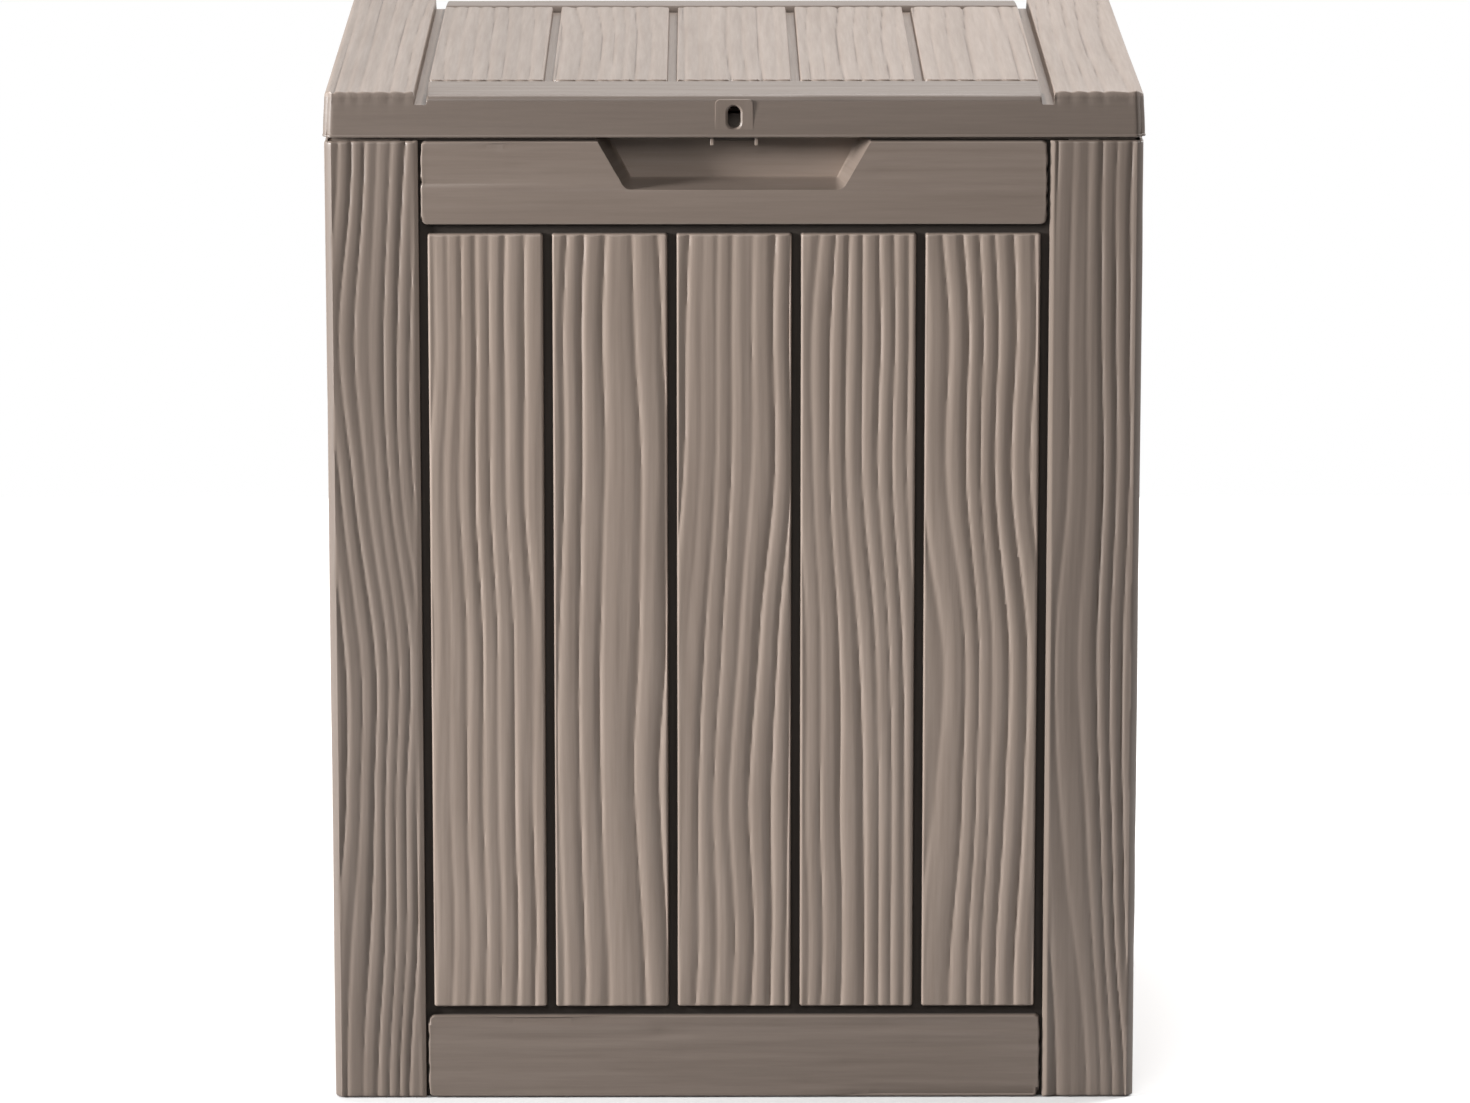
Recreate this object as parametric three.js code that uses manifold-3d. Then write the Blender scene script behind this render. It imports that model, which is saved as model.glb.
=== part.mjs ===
// A resin deck storage box: four plank-patterned wall panels held between four corner posts,
// a floor tray that the walls clip round, and a hinged two-piece lid with a padlock slot.
// Millimetres, +Z up. The origin is the middle of the footprint on the ground. The front faces -Y.
import * as THREE from "three";
import { mergeVertices } from "three/addons/utils/BufferGeometryUtils.js";
import { ConvexGeometry } from "three/addons/geometries/ConvexGeometry.js";
import Module from "manifold-3d";

const wasm = await Module();
wasm.setup();

// ---- Overall sizes ----
const LID_WIDTH = 540; // over the bottom edge of the lid's skirt
const LID_DEPTH = 430;
const HEIGHT = 686; // ground to the top of the closed lid
const LID_OVERHANG = 1; // how far the skirt stands proud of the walls, each side
const LID_HEIGHT = 30.5; // depth of the skirt
const LID_GAP = 2.5; // shadow gap between skirt and walls

// ---- Moulding sizes ----
const WALL = 2.5; // wall thickness of every moulding
const FIT = 0.3; // clearance between pieces that touch
const RELIEF = 5; // how far boards stand out of the panel's skin
const BOARD_GAP = 5.6; // groove between neighbouring boards
const CORNER_RADIUS = 5;
const POST_FACE = 59.5; // width of a corner post's face
const POST_SLANT = 2; // run of the sloping side of a post's face
const POST_GAP = 7.6; // from the post's face to the first plank
const RAIL_END_GAP = 3.2; // from the post's face to a rail's end
const TOP_RAIL = 56;
const BOTTOM_RAIL = 57.5;
const FRONT_PLANKS = 5;
const SIDE_PLANKS = 4;
const RIB = 2.5; // stiffening ribs
const PLANK_BAYS = 4; // hollows up the back of each plank
const BAY_WIDTH = 68; // widest hollow in the back of a board
const RIM_HEIGHT = 15; // upstand of the walls inside the lid
const TONGUE_ENGAGE = 10; // how far a panel's edge enters the post's channel

// ---- Hand recesses, as depth and half-widths of the mouth ----
const FRONT_GRIP = { top: 90, bottom: 71.5, height: 32.5, depth: 25, taper: 6, rise: 4.7 };
const SIDE_GRIP = { top: 60, bottom: 46, height: 30, depth: 22, taper: 5, rise: 4 };

// ---- Lock bracket, with the padlock tongue and its slot ----
const SLOT_WIDTH = 8.4;
const SLOT_HEIGHT = 14.6;
const SLOT_DROP = 17.3; // slot centre below the lid's top
const TONGUE_HALF = 15.7;
const TONGUE_BELOW = 3.5; // how far the tongue reaches below the walls' top edge
const TONGUE_ABOVE = 3; // material over the slot
const TONGUE_SET_BACK = 4.5; // tongue's front face behind the wall's face
const GUSSET = 2; // the bracket's two sides
const LOCK_PEG_RADIUS = 2.5; // pegs that hold the bracket to the recess's back wall
const LOCK_PEG_SPREAD = 9;
const LOCK_PEG_DROP = 10; // pegs below the rim
const LOCK_PEG_PROUD = 1.5;
const PAD_HALF = 12.3; // raised pad round the lid's slot

// ---- Lid ----
const LID_DRAFT = 1.5; // how much the skirt leans in over its height, each side
const LID_EDGE_DROP = 3.5; // rounding of the lid's side edges
const LID_RAIL = 45.4; // front and back rails, measured front to back
const SIDE_GROOVE_DEPTH = 9; // the two grooves that run the lid's whole depth
const LINER_THICKNESS = 2.5;
const LINER_ABOVE_RIM = 0.5;
const LINER_LAP = 0.5; // liner's edge inside the rim's outer face
const LINER_RIB_DROP = 12;
const LINER_RIB_INSET = 34;
const LINER_BAYS_X = 7;
const LINER_BAYS_Y = 6;
const NOTCH_ROOM = 3; // clearance of the liner's notches round the tongue and the hinges
const PEG_RADIUS = 3.5; // pegs that hold the liner in the lid's sockets
const PEG_SPREAD = 120; // the two rows of pegs, from the middle
const SOCKET_WALL = 2.5;

// ---- Hinges ----
const HINGE_X = 150;
const HINGE_ROUND = 6.5; // outer radius of knuckles and ears
const PIN_RADIUS = 3;
const PIN_HEAD_RADIUS = 4.4;
const PIN_HEAD = 1.5;
const PIN_END_ROOM = 0.7; // from the pin's head to the pocket's side
const PIN_PROUD = 1; // how far the pin's other end passes its ear
const HINGE_DOWN = 6; // axis below the walls' top edge
const KNUCKLE_HALF = 15;
const SIDE_PLAY = 0.6; // between a knuckle and the ears beside it
const EAR = 11;
const EAR_ARM_INSET = 2; // ear's arm behind its round end
const HINGE_END_ROOM = 3; // room for the pin's head beside the ears
const POCKET_DEPTH = 16.5;
const POCKET_BELOW_AXIS = 9;

// ---- Floor tray ----
const TRAY_WALL_HEIGHT = 40;
const FLOOR_HEIGHT = 20; // underside of the floor plate
const LUG_WIDTH = 24;
const LUG_HEIGHT = 6;
const LUG_REACH = 6;
const LUG_LIFT = 4; // above the floor plate
const LUG_SHARE = 0.25; // lug places, as a share of the wall's length either side of its middle
const LUG_FIT = 0.5;
const TRAY_BAYS_X = 8;
const TRAY_BAYS_Y = 6;

// ---- Worked-out sizes ----
const bodyWidth = LID_WIDTH - 2 * LID_OVERHANG;
const bodyDepth = LID_DEPTH - 2 * LID_OVERHANG;
const lidBottom = HEIGHT - LID_HEIGHT;
const wallTop = lidBottom - LID_GAP;
const rimTop = wallTop + RIM_HEIGHT;
const skinBack = RELIEF + WALL;
const channelFront = RELIEF - FIT;
const channelBack = skinBack + FIT;
const flangeBack = channelBack + WALL;
const postFoot = POST_FACE + POST_SLANT;
const tongueEnd = postFoot - TONGUE_ENGAGE - POST_SLANT; // panel's edge, from the corner
const plankBottom = BOTTOM_RAIL + BOARD_GAP;
const plankTop = wallTop - TOP_RAIL - BOARD_GAP;
const slotCentre = HEIGHT - SLOT_DROP;
const tongueTop = slotCentre + SLOT_HEIGHT / 2 + TONGUE_ABOVE;
const hingeZ = wallTop - HINGE_DOWN;
const hingeDepth = HINGE_ROUND; // axis behind the back wall's face
const hingeY = bodyDepth / 2 - hingeDepth;
const boreRadius = PIN_RADIUS + FIT;
const earInner = KNUCKLE_HALF + SIDE_PLAY;
const earOuter = earInner + EAR;
const pocketHalf = earOuter + HINGE_END_ROOM;
const lugBottom = FLOOR_HEIGHT + WALL + LUG_LIFT;
const trayInset = flangeBack + FIT; // tray's face, from the walls' faces
const linerBottom = rimTop + LINER_ABOVE_RIM;
const linerTop = linerBottom + LINER_THICKNESS;
const lidUnderside = HEIGHT - WALL;
const fieldHalf = bodyWidth / 2 - POST_FACE - POST_GAP; // half the width of the front's row of planks
const plankPitch = (2 * fieldHalf + BOARD_GAP) / FRONT_PLANKS;
const OVER = 1; // how far a cutting or joining body reaches past a face

// ---- Geometry helpers ----
// A three.js geometry as a manifold solid, with only its positions kept.
function solid(geometry) {
  const bare = geometry.index ? geometry.toNonIndexed() : geometry.clone();
  bare.deleteAttribute("normal");
  bare.deleteAttribute("uv");
  const merged = mergeVertices(bare, 1e-4);
  return new wasm.Manifold(
    new wasm.Mesh({
      numProp: 3,
      vertProperties: merged.attributes.position.array,
      triVerts: new Uint32Array(merged.index.array),
    }),
  );
}

function block(x0, x1, y0, y1, z0, z1) {
  const box = new THREE.BoxGeometry(x1 - x0, y1 - y0, z1 - z0);
  box.translate((x0 + x1) / 2, (y0 + y1) / 2, (z0 + z1) / 2);
  return solid(box);
}

// An outline of [x, y] points, extruded from z0 to z1.
function prism(outline, z0, z1) {
  const shape = new THREE.Shape(outline.map(([x, y]) => new THREE.Vector2(x, y)));
  const made = new THREE.ExtrudeGeometry(shape, { depth: z1 - z0, bevelEnabled: false });
  made.translate(0, 0, z0);
  return solid(made);
}

// The convex body round [x, y, z] points.
function hull(points) {
  return solid(new ConvexGeometry(points.map((p) => new THREE.Vector3(...p))));
}

// A rod along X, centred on y, z.
function rod(radius, x0, x1, y, z, sides = 24) {
  const made = new THREE.CylinderGeometry(radius, radius, x1 - x0, sides);
  made.rotateZ(Math.PI / 2);
  made.translate((x0 + x1) / 2, y, z);
  return solid(made);
}

function join(...pieces) {
  return pieces.flat().reduce((all, piece) => all.add(piece));
}

function cut(from, ...tools) {
  return tools.flat().reduce((left, tool) => left.subtract(tool), from);
}

// A quarter arc's points round a centre, from one angle to another, in degrees.
function arc(cx, cy, radius, from, to, steps = 5) {
  return Array.from({ length: steps + 1 }, (_, i) => {
    const angle = THREE.MathUtils.degToRad(from + ((to - from) * i) / steps);
    return [cx + radius * Math.cos(angle), cy + radius * Math.sin(angle)];
  });
}

function roundedRectangle(halfX, halfY, radius) {
  const x = halfX - radius;
  const y = halfY - radius;
  return [
    ...arc(x, y, radius, 0, 90),
    ...arc(-x, y, radius, 90, 180),
    ...arc(-x, -y, radius, 180, 270),
    ...arc(x, -y, radius, 270, 360),
  ];
}

// A padlock slot's cutting body along Y: a rectangle with round ends.
function slotCutter(y0, y1) {
  const radius = SLOT_WIDTH / 2;
  const rise = SLOT_HEIGHT / 2 - radius;
  const ends = [...arc(0, rise, radius, 0, 180, 10), ...arc(0, -rise, radius, 180, 360, 10)];
  return hull([y0, y1].flatMap((y) => ends.map(([x, z]) => [x, y, slotCentre + z])));
}

// ---- Materials ----
const RESIN = new THREE.MeshStandardMaterial({ color: 0x8f8074, roughness: 0.55, metalness: 0 });
const RESIN_INNER = new THREE.MeshStandardMaterial({ color: 0x85776b, roughness: 0.6, metalness: 0 });
const PIN_PLASTIC = new THREE.MeshStandardMaterial({ color: 0x4a423b, roughness: 0.5, metalness: 0 });

function named(name, shape, material) {
  const made = shape.getMesh();
  const positions = new Float32Array(made.numVert * 3);
  for (let i = 0; i < made.numVert; i++) {
    const start = i * made.numProp;
    positions.set(made.vertProperties.subarray(start, start + 3), i * 3);
  }
  const geometry = new THREE.BufferGeometry();
  geometry.setAttribute("position", new THREE.BufferAttribute(positions, 3));
  geometry.setIndex(new THREE.BufferAttribute(new Uint32Array(made.triVerts), 1));
  geometry.computeVertexNormals();
  const mesh = new THREE.Mesh(geometry, material);
  mesh.name = name;
  return mesh;
}

// ---- Wall panels ----
// A panel is drawn in its own frame: X along the wall, Y inwards from the outer face, Z up.

// The boards of a wall: two rails and a row of planks.
function boardsOf(length, planks) {
  const railHalf = length / 2 - POST_FACE - RAIL_END_GAP;
  const rowHalf = length / 2 - POST_FACE - POST_GAP;
  const pitch = (2 * rowHalf + BOARD_GAP) / planks;
  const boards = [
    { x0: -railHalf, x1: railHalf, z0: 0, z1: BOTTOM_RAIL, rows: 1 },
    { x0: -railHalf, x1: railHalf, z0: wallTop - TOP_RAIL, z1: wallTop, rows: 1, top: true },
  ];
  for (let i = 0; i < planks; i++) {
    const x0 = -rowHalf + i * pitch;
    boards.push({ x0, x1: x0 + pitch - BOARD_GAP, z0: plankBottom, z1: plankTop, rows: PLANK_BAYS });
  }
  return boards;
}

// A span from low to high, parted by ribs into equal bays, as [from, to] pairs.
function bays(low, high, count) {
  const bay = (high - low - (count - 1) * RIB) / count;
  return Array.from({ length: count }, (_, i) => [low + i * (bay + RIB), low + i * (bay + RIB) + bay]);
}

// The hollows behind one board, parted by its ribs. keepSolid is a half-width left uncut in the middle.
function hollowsOf(board, keepSolid) {
  const x0 = board.x0 + WALL;
  const x1 = board.x1 - WALL;
  const spans = keepSolid ? [[x0, -keepSolid], [keepSolid, x1]] : [[x0, x1]];
  const columns = spans.flatMap(([from, to]) => bays(from, to, Math.ceil((to - from) / BAY_WIDTH)));
  const rows = bays(board.z0 + WALL, board.z1 - WALL, board.rows);
  return columns.flatMap(([from, to]) =>
    rows.map(([low, high]) => block(from, to, WALL, skinBack + OVER, low, high)),
  );
}

// A hand recess's hollow, open at the front and at the top, grown by a margin on its closed sides.
function gripBody(grip, margin, front) {
  const low = wallTop - grip.height - margin;
  const lean = (grip.top - grip.bottom) / grip.height;
  const topHalf = grip.top + lean * (rimTop - wallTop) + margin;
  const lowHalf = grip.bottom + margin;
  const back = grip.depth + margin;
  const high = margin ? rimTop : rimTop + OVER;
  return hull(
    [-1, 1].flatMap((side) => [
      [side * lowHalf, front, low],
      [side * topHalf, front, high],
      [side * (lowHalf - grip.taper), back, low + grip.rise],
      [side * (topHalf - grip.taper), back, high],
    ]),
  );
}

// The space above the walls' top edge that the lid's skirt drops into.
function skirtRoom(half) {
  return block(-half, half, -OVER, RELIEF, wallTop, rimTop + OVER);
}

function wallPanel(length, planks, grip) {
  const half = length / 2 - tongueEnd;
  const boards = boardsOf(length, planks);
  const keepSolid = grip ? grip.top + 2 * WALL : 0;
  let panel = join(
    block(-half, half, RELIEF, skinBack, 0, rimTop),
    boards.map((b) => block(b.x0, b.x1, 0, RELIEF + OVER, b.z0, b.z1)),
  );
  panel = cut(
    panel,
    boards.flatMap((b) => hollowsOf(b, b.top ? keepSolid : 0)),
  );
  if (grip) {
    const pocket = cut(gripBody(grip, WALL, 0), skirtRoom(length / 2));
    panel = cut(panel.add(pocket), gripBody(grip, 0, -OVER));
  }
  for (const side of [-1, 1]) {
    const at = side * LUG_SHARE * length;
    const ends = [at - LUG_WIDTH / 2, at + LUG_WIDTH / 2];
    const lug = block(...ends, WALL - OVER, skinBack + LUG_REACH, lugBottom, lugBottom + LUG_HEIGHT);
    panel = panel.add(lug);
  }
  return panel;
}

// The lock bracket's pegs, or the holes for them, from y0 to y1.
function lockPegs(radius, y0, y1) {
  return [-LOCK_PEG_SPREAD, LOCK_PEG_SPREAD].map((x) => {
    const made = new THREE.CylinderGeometry(radius, radius, y1 - y0, 16);
    made.translate(x, (y0 + y1) / 2, rimTop - LOCK_PEG_DROP);
    return solid(made);
  });
}

// The lock bracket stands in the front recess. Its tongue enters the lid behind the slotted skirt.
function lockBracket() {
  const low = wallTop - TONGUE_BELOW;
  const front = TONGUE_SET_BACK;
  const seat = FRONT_GRIP.depth - FIT;
  const tongue = block(-TONGUE_HALF, TONGUE_HALF, front, front + WALL, low, tongueTop);
  const foot = block(-TONGUE_HALF, TONGUE_HALF, seat - WALL, seat, low, rimTop);
  const sides = [-TONGUE_HALF, TONGUE_HALF - GUSSET].map((x) =>
    block(x, x + GUSSET, front, seat, low, rimTop),
  );
  const pegs = lockPegs(LOCK_PEG_RADIUS, seat - OVER, FRONT_GRIP.depth + WALL + LOCK_PEG_PROUD);
  return cut(join(tongue, foot, sides, pegs), slotCutter(0, front + WALL + OVER));
}

// One hinge pocket in the back wall, with its knuckle: what to add, and what to cut first.
function hingePocket(x) {
  const low = hingeZ - POCKET_BELOW_AXIS;
  const body = cut(
    block(x - pocketHalf - WALL, x + pocketHalf + WALL, 0, POCKET_DEPTH + WALL, low - WALL, rimTop),
    skirtRoom(bodyWidth / 2),
  );
  const hollow = block(x - pocketHalf, x + pocketHalf, -OVER, POCKET_DEPTH, low, rimTop + OVER);
  const ends = [x - KNUCKLE_HALF, x + KNUCKLE_HALF];
  const web = block(...ends, hingeDepth, POCKET_DEPTH + OVER, hingeZ - HINGE_ROUND, hingeZ + WALL);
  const knuckle = cut(
    join(rod(HINGE_ROUND, ...ends, hingeDepth, hingeZ), web),
    rod(boreRadius, ends[0] - OVER, ends[1] + OVER, hingeDepth, hingeZ),
  );
  return { body, hollow, knuckle };
}

function frontPanel() {
  const holes = lockPegs(LOCK_PEG_RADIUS + FIT, FRONT_GRIP.depth - OVER, FRONT_GRIP.depth + 2 * WALL);
  return cut(wallPanel(bodyWidth, FRONT_PLANKS, FRONT_GRIP), holes);
}

function backPanel() {
  let panel = wallPanel(bodyWidth, FRONT_PLANKS, null);
  for (const x of [-HINGE_X, HINGE_X]) {
    const { body, hollow, knuckle } = hingePocket(x);
    panel = cut(panel.add(body), hollow).add(knuckle);
  }
  return panel;
}

// ---- Corner posts ----
// Drawn with the box's corner at the origin and its two faces along +X and +Y.
function cornerPost() {
  const web = tongueEnd - FIT; // face of the cross web that a panel's edge stops at
  const lip = WALL;
  const leg = [
    [POST_FACE, 0],
    [postFoot, channelFront],
    [postFoot - lip, channelFront],
    [postFoot - lip - POST_SLANT / 2, WALL],
    [web, WALL],
    [web, channelBack],
    [postFoot, channelBack],
    [postFoot, flangeBack],
    [web - WALL, flangeBack],
    [web - WALL, WALL],
  ];
  const mirrored = leg.map(([x, y]) => [y, x]).reverse();
  const outer = arc(CORNER_RADIUS, CORNER_RADIUS, CORNER_RADIUS, 180, 270);
  const section = [...outer, ...leg, [WALL, WALL], ...mirrored];
  const cap = [[CORNER_RADIUS, 0], [web, 0], [web, skinBack], [skinBack, skinBack]];
  const capBack = [[skinBack, web], [0, web], [0, CORNER_RADIUS]];
  const rim = [[RELIEF, RELIEF], [web, RELIEF], [web, skinBack], [skinBack, skinBack]];
  const rimBack = [[skinBack, web], [RELIEF, web]];
  return join(
    prism(section, 0, wallTop),
    prism([...cap, ...capBack, ...outer.slice(1, -1)], wallTop - WALL, wallTop),
    prism([...rim, ...rimBack], wallTop - WALL, rimTop),
  );
}

// ---- Floor tray ----
function floorTray() {
  const x = bodyWidth / 2 - trayInset;
  const y = bodyDepth / 2 - trayInset;
  const innerX = x - WALL;
  const innerY = y - WALL;
  const plateTop = FLOOR_HEIGHT + WALL;
  const above = block(-innerX, innerX, -innerY, innerY, plateTop, TRAY_WALL_HEIGHT + OVER);
  const below = bays(-innerX, innerX, TRAY_BAYS_X).flatMap(([x0, x1]) =>
    bays(-innerY, innerY, TRAY_BAYS_Y).map(([y0, y1]) => block(x0, x1, y0, y1, -OVER, FLOOR_HEIGHT)),
  );
  let tray = cut(block(-x, x, -y, y, 0, TRAY_WALL_HEIGHT), above, below);
  const low = lugBottom - LUG_FIT;
  const high = lugBottom + LUG_HEIGHT + LUG_FIT;
  const half = LUG_WIDTH / 2 + LUG_FIT;
  for (const side of [-1, 1]) {
    const atX = side * LUG_SHARE * bodyWidth;
    const atY = side * LUG_SHARE * bodyDepth;
    tray = cut(
      tray,
      block(atX - half, atX + half, -y - OVER, -innerY + OVER, low, high),
      block(atX - half, atX + half, innerY - OVER, y + OVER, low, high),
      block(-x - OVER, -innerX + OVER, atY - half, atY + half, low, high),
      block(innerX - OVER, x + OVER, atY - half, atY + half, low, high),
    );
  }
  return tray;
}

// ---- Lid ----
// A hinge ear: a round end on the axis and an arm up into the lid.
function hingeEar(x0, x1) {
  const front = hingeY - HINGE_ROUND + EAR_ARM_INSET;
  const arm = block(x0, x1, front, bodyDepth / 2 - EAR_ARM_INSET, hingeZ, lidUnderside + OVER);
  return join(rod(HINGE_ROUND - FIT, x0, x1, hingeY, hingeZ), arm);
}

// The lid's grooves, seen from above. Those at the sides run out through the skirt.
function lidGrooves() {
  const sideOut = bodyWidth / 2 - POST_FACE;
  const railInner = LID_DEPTH / 2 - LID_RAIL;
  const run = LID_DEPTH / 2 + OVER;
  const grooves = [];
  for (const side of [-1, 1]) {
    const [x0, x1] = [side * fieldHalf, side * sideOut].sort((a, b) => a - b);
    grooves.push({ x0, x1, y0: -run, y1: run, deep: SIDE_GROOVE_DEPTH });
    const [y0, y1] = [side * railInner, side * (railInner - BOARD_GAP)].sort((a, b) => a - b);
    grooves.push({ x0: -fieldHalf, x1: fieldHalf, y0, y1, deep: RELIEF });
  }
  for (let i = 1; i < FRONT_PLANKS; i++) {
    const x1 = -fieldHalf + i * plankPitch;
    grooves.push({ x0: x1 - BOARD_GAP, x1, y0: -railInner, y1: railInner, deep: RELIEF });
  }
  return grooves;
}

// Where the liner's pegs stand: under the middle plank and the two outer ones, in two rows.
function pegPlaces() {
  const outer = plankPitch * Math.floor(FRONT_PLANKS / 2);
  return [-outer, 0, outer].flatMap((x) => [[x, -PEG_SPREAD], [x, PEG_SPREAD]]);
}

function upright(radius, x, y, z0, z1) {
  const made = new THREE.CylinderGeometry(radius, radius, z1 - z0, 16);
  made.rotateX(Math.PI / 2);
  made.translate(x, y, (z0 + z1) / 2);
  return solid(made);
}

function lidShell() {
  const halfX = LID_WIDTH / 2;
  const halfY = LID_DEPTH / 2;
  const edge = HEIGHT - LID_EDGE_DROP;
  const ring = (x, y, z) => roundedRectangle(x, y, CORNER_RADIUS).map(([px, py]) => [px, py, z]);
  const outer = hull([
    ...ring(halfX, halfY, lidBottom),
    ...ring(halfX - LID_DRAFT, halfY - LID_DRAFT, edge),
    ...ring(halfX - LID_DRAFT - LID_EDGE_DROP, halfY - LID_DRAFT, HEIGHT),
  ]);
  const inner = hull([
    ...ring(halfX - WALL, halfY - WALL, lidBottom - OVER),
    ...ring(halfX - WALL - LID_DRAFT, halfY - WALL - LID_DRAFT, lidUnderside),
  ]);
  // Each groove has its own floor and sides below the lid's top, so the wall stays one thickness.
  const grooves = lidGrooves();
  const trough = (g) =>
    block(g.x0 - WALL, g.x1 + WALL, g.y0, g.y1, lidUnderside - g.deep, lidUnderside + OVER);
  const backing = join(grooves.map(trough)).intersect(outer);
  const cutters = grooves.map((g) => block(g.x0, g.x1, g.y0, g.y1, HEIGHT - g.deep, HEIGHT + OVER));
  let shell = cut(outer.subtract(inner).add(backing), cutters);
  const sockets = pegPlaces().map(([x, y]) =>
    upright(PEG_RADIUS + FIT + SOCKET_WALL, x, y, linerTop + FIT, lidUnderside + OVER),
  );
  const holes = pegPlaces().map(([x, y]) =>
    upright(PEG_RADIUS + FIT, x, y, linerTop - OVER, lidUnderside),
  );
  shell = cut(join(shell, sockets), holes);
  // The pad keeps an upright face where the skirt leans back.
  shell = shell.add(block(-PAD_HALF, PAD_HALF, -halfY, -halfY + WALL, lidBottom, edge));
  shell = shell.subtract(slotCutter(-halfY - OVER, -halfY + 2 * WALL));
  for (const hinge of [-HINGE_X, HINGE_X]) {
    shell = join(
      shell,
      hingeEar(hinge - earOuter, hinge - earInner),
      hingeEar(hinge + earInner, hinge + earOuter),
    );
    const bore = rod(boreRadius, hinge - pocketHalf, hinge + pocketHalf, hingeY, hingeZ);
    shell = shell.subtract(bore);
  }
  return shell;
}

// The liner closes the underside of the lid just above the walls' rim, with a grid of ribs below.
function lidLiner() {
  const halfX = bodyWidth / 2 - RELIEF - LINER_LAP;
  const halfY = bodyDepth / 2 - RELIEF - LINER_LAP;
  const plate = block(-halfX, halfX, -halfY, halfY, linerBottom, linerTop);
  const ribX = bodyWidth / 2 - LINER_RIB_INSET;
  const ribY = bodyDepth / 2 - LINER_RIB_INSET;
  const low = linerBottom - LINER_RIB_DROP;
  const high = linerBottom + OVER;
  const cells = bays(-ribX + RIB, ribX - RIB, LINER_BAYS_X).flatMap(([x0, x1]) =>
    bays(-ribY + RIB, ribY - RIB, LINER_BAYS_Y).map(([y0, y1]) =>
      block(x0, x1, y0, y1, low - OVER, high + OVER),
    ),
  );
  const ribs = cut(block(-ribX, ribX, -ribY, ribY, low, high), cells);
  const pegs = pegPlaces().map(([x, y]) =>
    upright(PEG_RADIUS, x, y, linerTop - OVER, lidUnderside - FIT),
  );
  const tongueSide = TONGUE_HALF + NOTCH_ROOM;
  const tongueBack = -bodyDepth / 2 + FRONT_GRIP.depth + NOTCH_ROOM;
  const hingeFront = hingeY - HINGE_ROUND - NOTCH_ROOM;
  const notches = [block(-tongueSide, tongueSide, -halfY - OVER, tongueBack, low, linerTop + OVER)];
  for (const x of [-HINGE_X, HINGE_X]) {
    notches.push(block(x - pocketHalf, x + pocketHalf, hingeFront, halfY + OVER, low, linerTop + OVER));
  }
  return cut(join(plate, ribs, pegs), notches);
}

function hingePin(x) {
  const start = x - pocketHalf + PIN_END_ROOM;
  return join(
    rod(PIN_RADIUS, start, x + earOuter + PIN_PROUD, hingeY, hingeZ),
    rod(PIN_HEAD_RADIUS, start, start + PIN_HEAD, hingeY, hingeZ),
  );
}

// ---- Assembly ----
function place(mesh, x, y, quarterTurns) {
  mesh.position.set(x, y, 0);
  mesh.rotation.z = (quarterTurns * Math.PI) / 2;
  return mesh;
}

const box = new THREE.Group();
const sidePanel = wallPanel(bodyDepth, SIDE_PLANKS, SIDE_GRIP);
const post = cornerPost();
const halfW = bodyWidth / 2;
const halfD = bodyDepth / 2;

box.add(named("floor_tray", floorTray(), RESIN_INNER));
box.add(place(named("front_panel", frontPanel(), RESIN), 0, -halfD, 0));
box.add(place(named("lock_bracket", lockBracket(), RESIN_INNER), 0, -halfD, 0));
box.add(place(named("right_side_panel", sidePanel, RESIN), halfW, 0, 1));
box.add(place(named("back_panel", backPanel(), RESIN), 0, halfD, 2));
box.add(place(named("left_side_panel", sidePanel, RESIN), -halfW, 0, 3));
box.add(place(named("front_left_post", post, RESIN), -halfW, -halfD, 0));
box.add(place(named("front_right_post", post, RESIN), halfW, -halfD, 1));
box.add(place(named("back_right_post", post, RESIN), halfW, halfD, 2));
box.add(place(named("back_left_post", post, RESIN), -halfW, halfD, 3));
box.add(named("left_hinge_pin", hingePin(-HINGE_X), PIN_PLASTIC));
box.add(named("right_hinge_pin", hingePin(HINGE_X), PIN_PLASTIC));

const lid = new THREE.Group();
lid.add(named("lid_shell", lidShell(), RESIN));
lid.add(named("lid_liner", lidLiner(), RESIN_INNER));
box.add(lid);

export default box;
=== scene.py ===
"""Looks of a resin deck storage box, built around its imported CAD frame.

Shapes are worked out in millimetres and turned into metres as each piece is made. +Z is up and the
front faces -Y. The walls, posts and lid are closed shells whose outer faces carry the moulded boards
and their wood grain as real relief.
"""

import math

import bmesh
import bpy
import numpy as np
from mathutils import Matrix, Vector


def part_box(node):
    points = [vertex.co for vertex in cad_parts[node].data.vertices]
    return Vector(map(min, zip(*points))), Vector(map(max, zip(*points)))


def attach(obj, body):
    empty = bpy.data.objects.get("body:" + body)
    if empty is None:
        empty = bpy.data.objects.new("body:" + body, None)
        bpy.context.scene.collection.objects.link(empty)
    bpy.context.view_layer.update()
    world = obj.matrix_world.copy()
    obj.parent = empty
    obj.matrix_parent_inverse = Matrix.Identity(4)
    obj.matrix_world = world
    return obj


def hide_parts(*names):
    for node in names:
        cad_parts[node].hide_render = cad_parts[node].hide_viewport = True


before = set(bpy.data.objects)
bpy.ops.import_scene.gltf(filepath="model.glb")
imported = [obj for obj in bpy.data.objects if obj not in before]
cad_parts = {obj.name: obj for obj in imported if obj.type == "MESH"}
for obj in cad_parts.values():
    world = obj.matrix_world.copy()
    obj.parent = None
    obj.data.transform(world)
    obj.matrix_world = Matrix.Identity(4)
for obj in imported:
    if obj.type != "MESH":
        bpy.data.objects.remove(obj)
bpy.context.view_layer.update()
MM = 0.001

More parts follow.
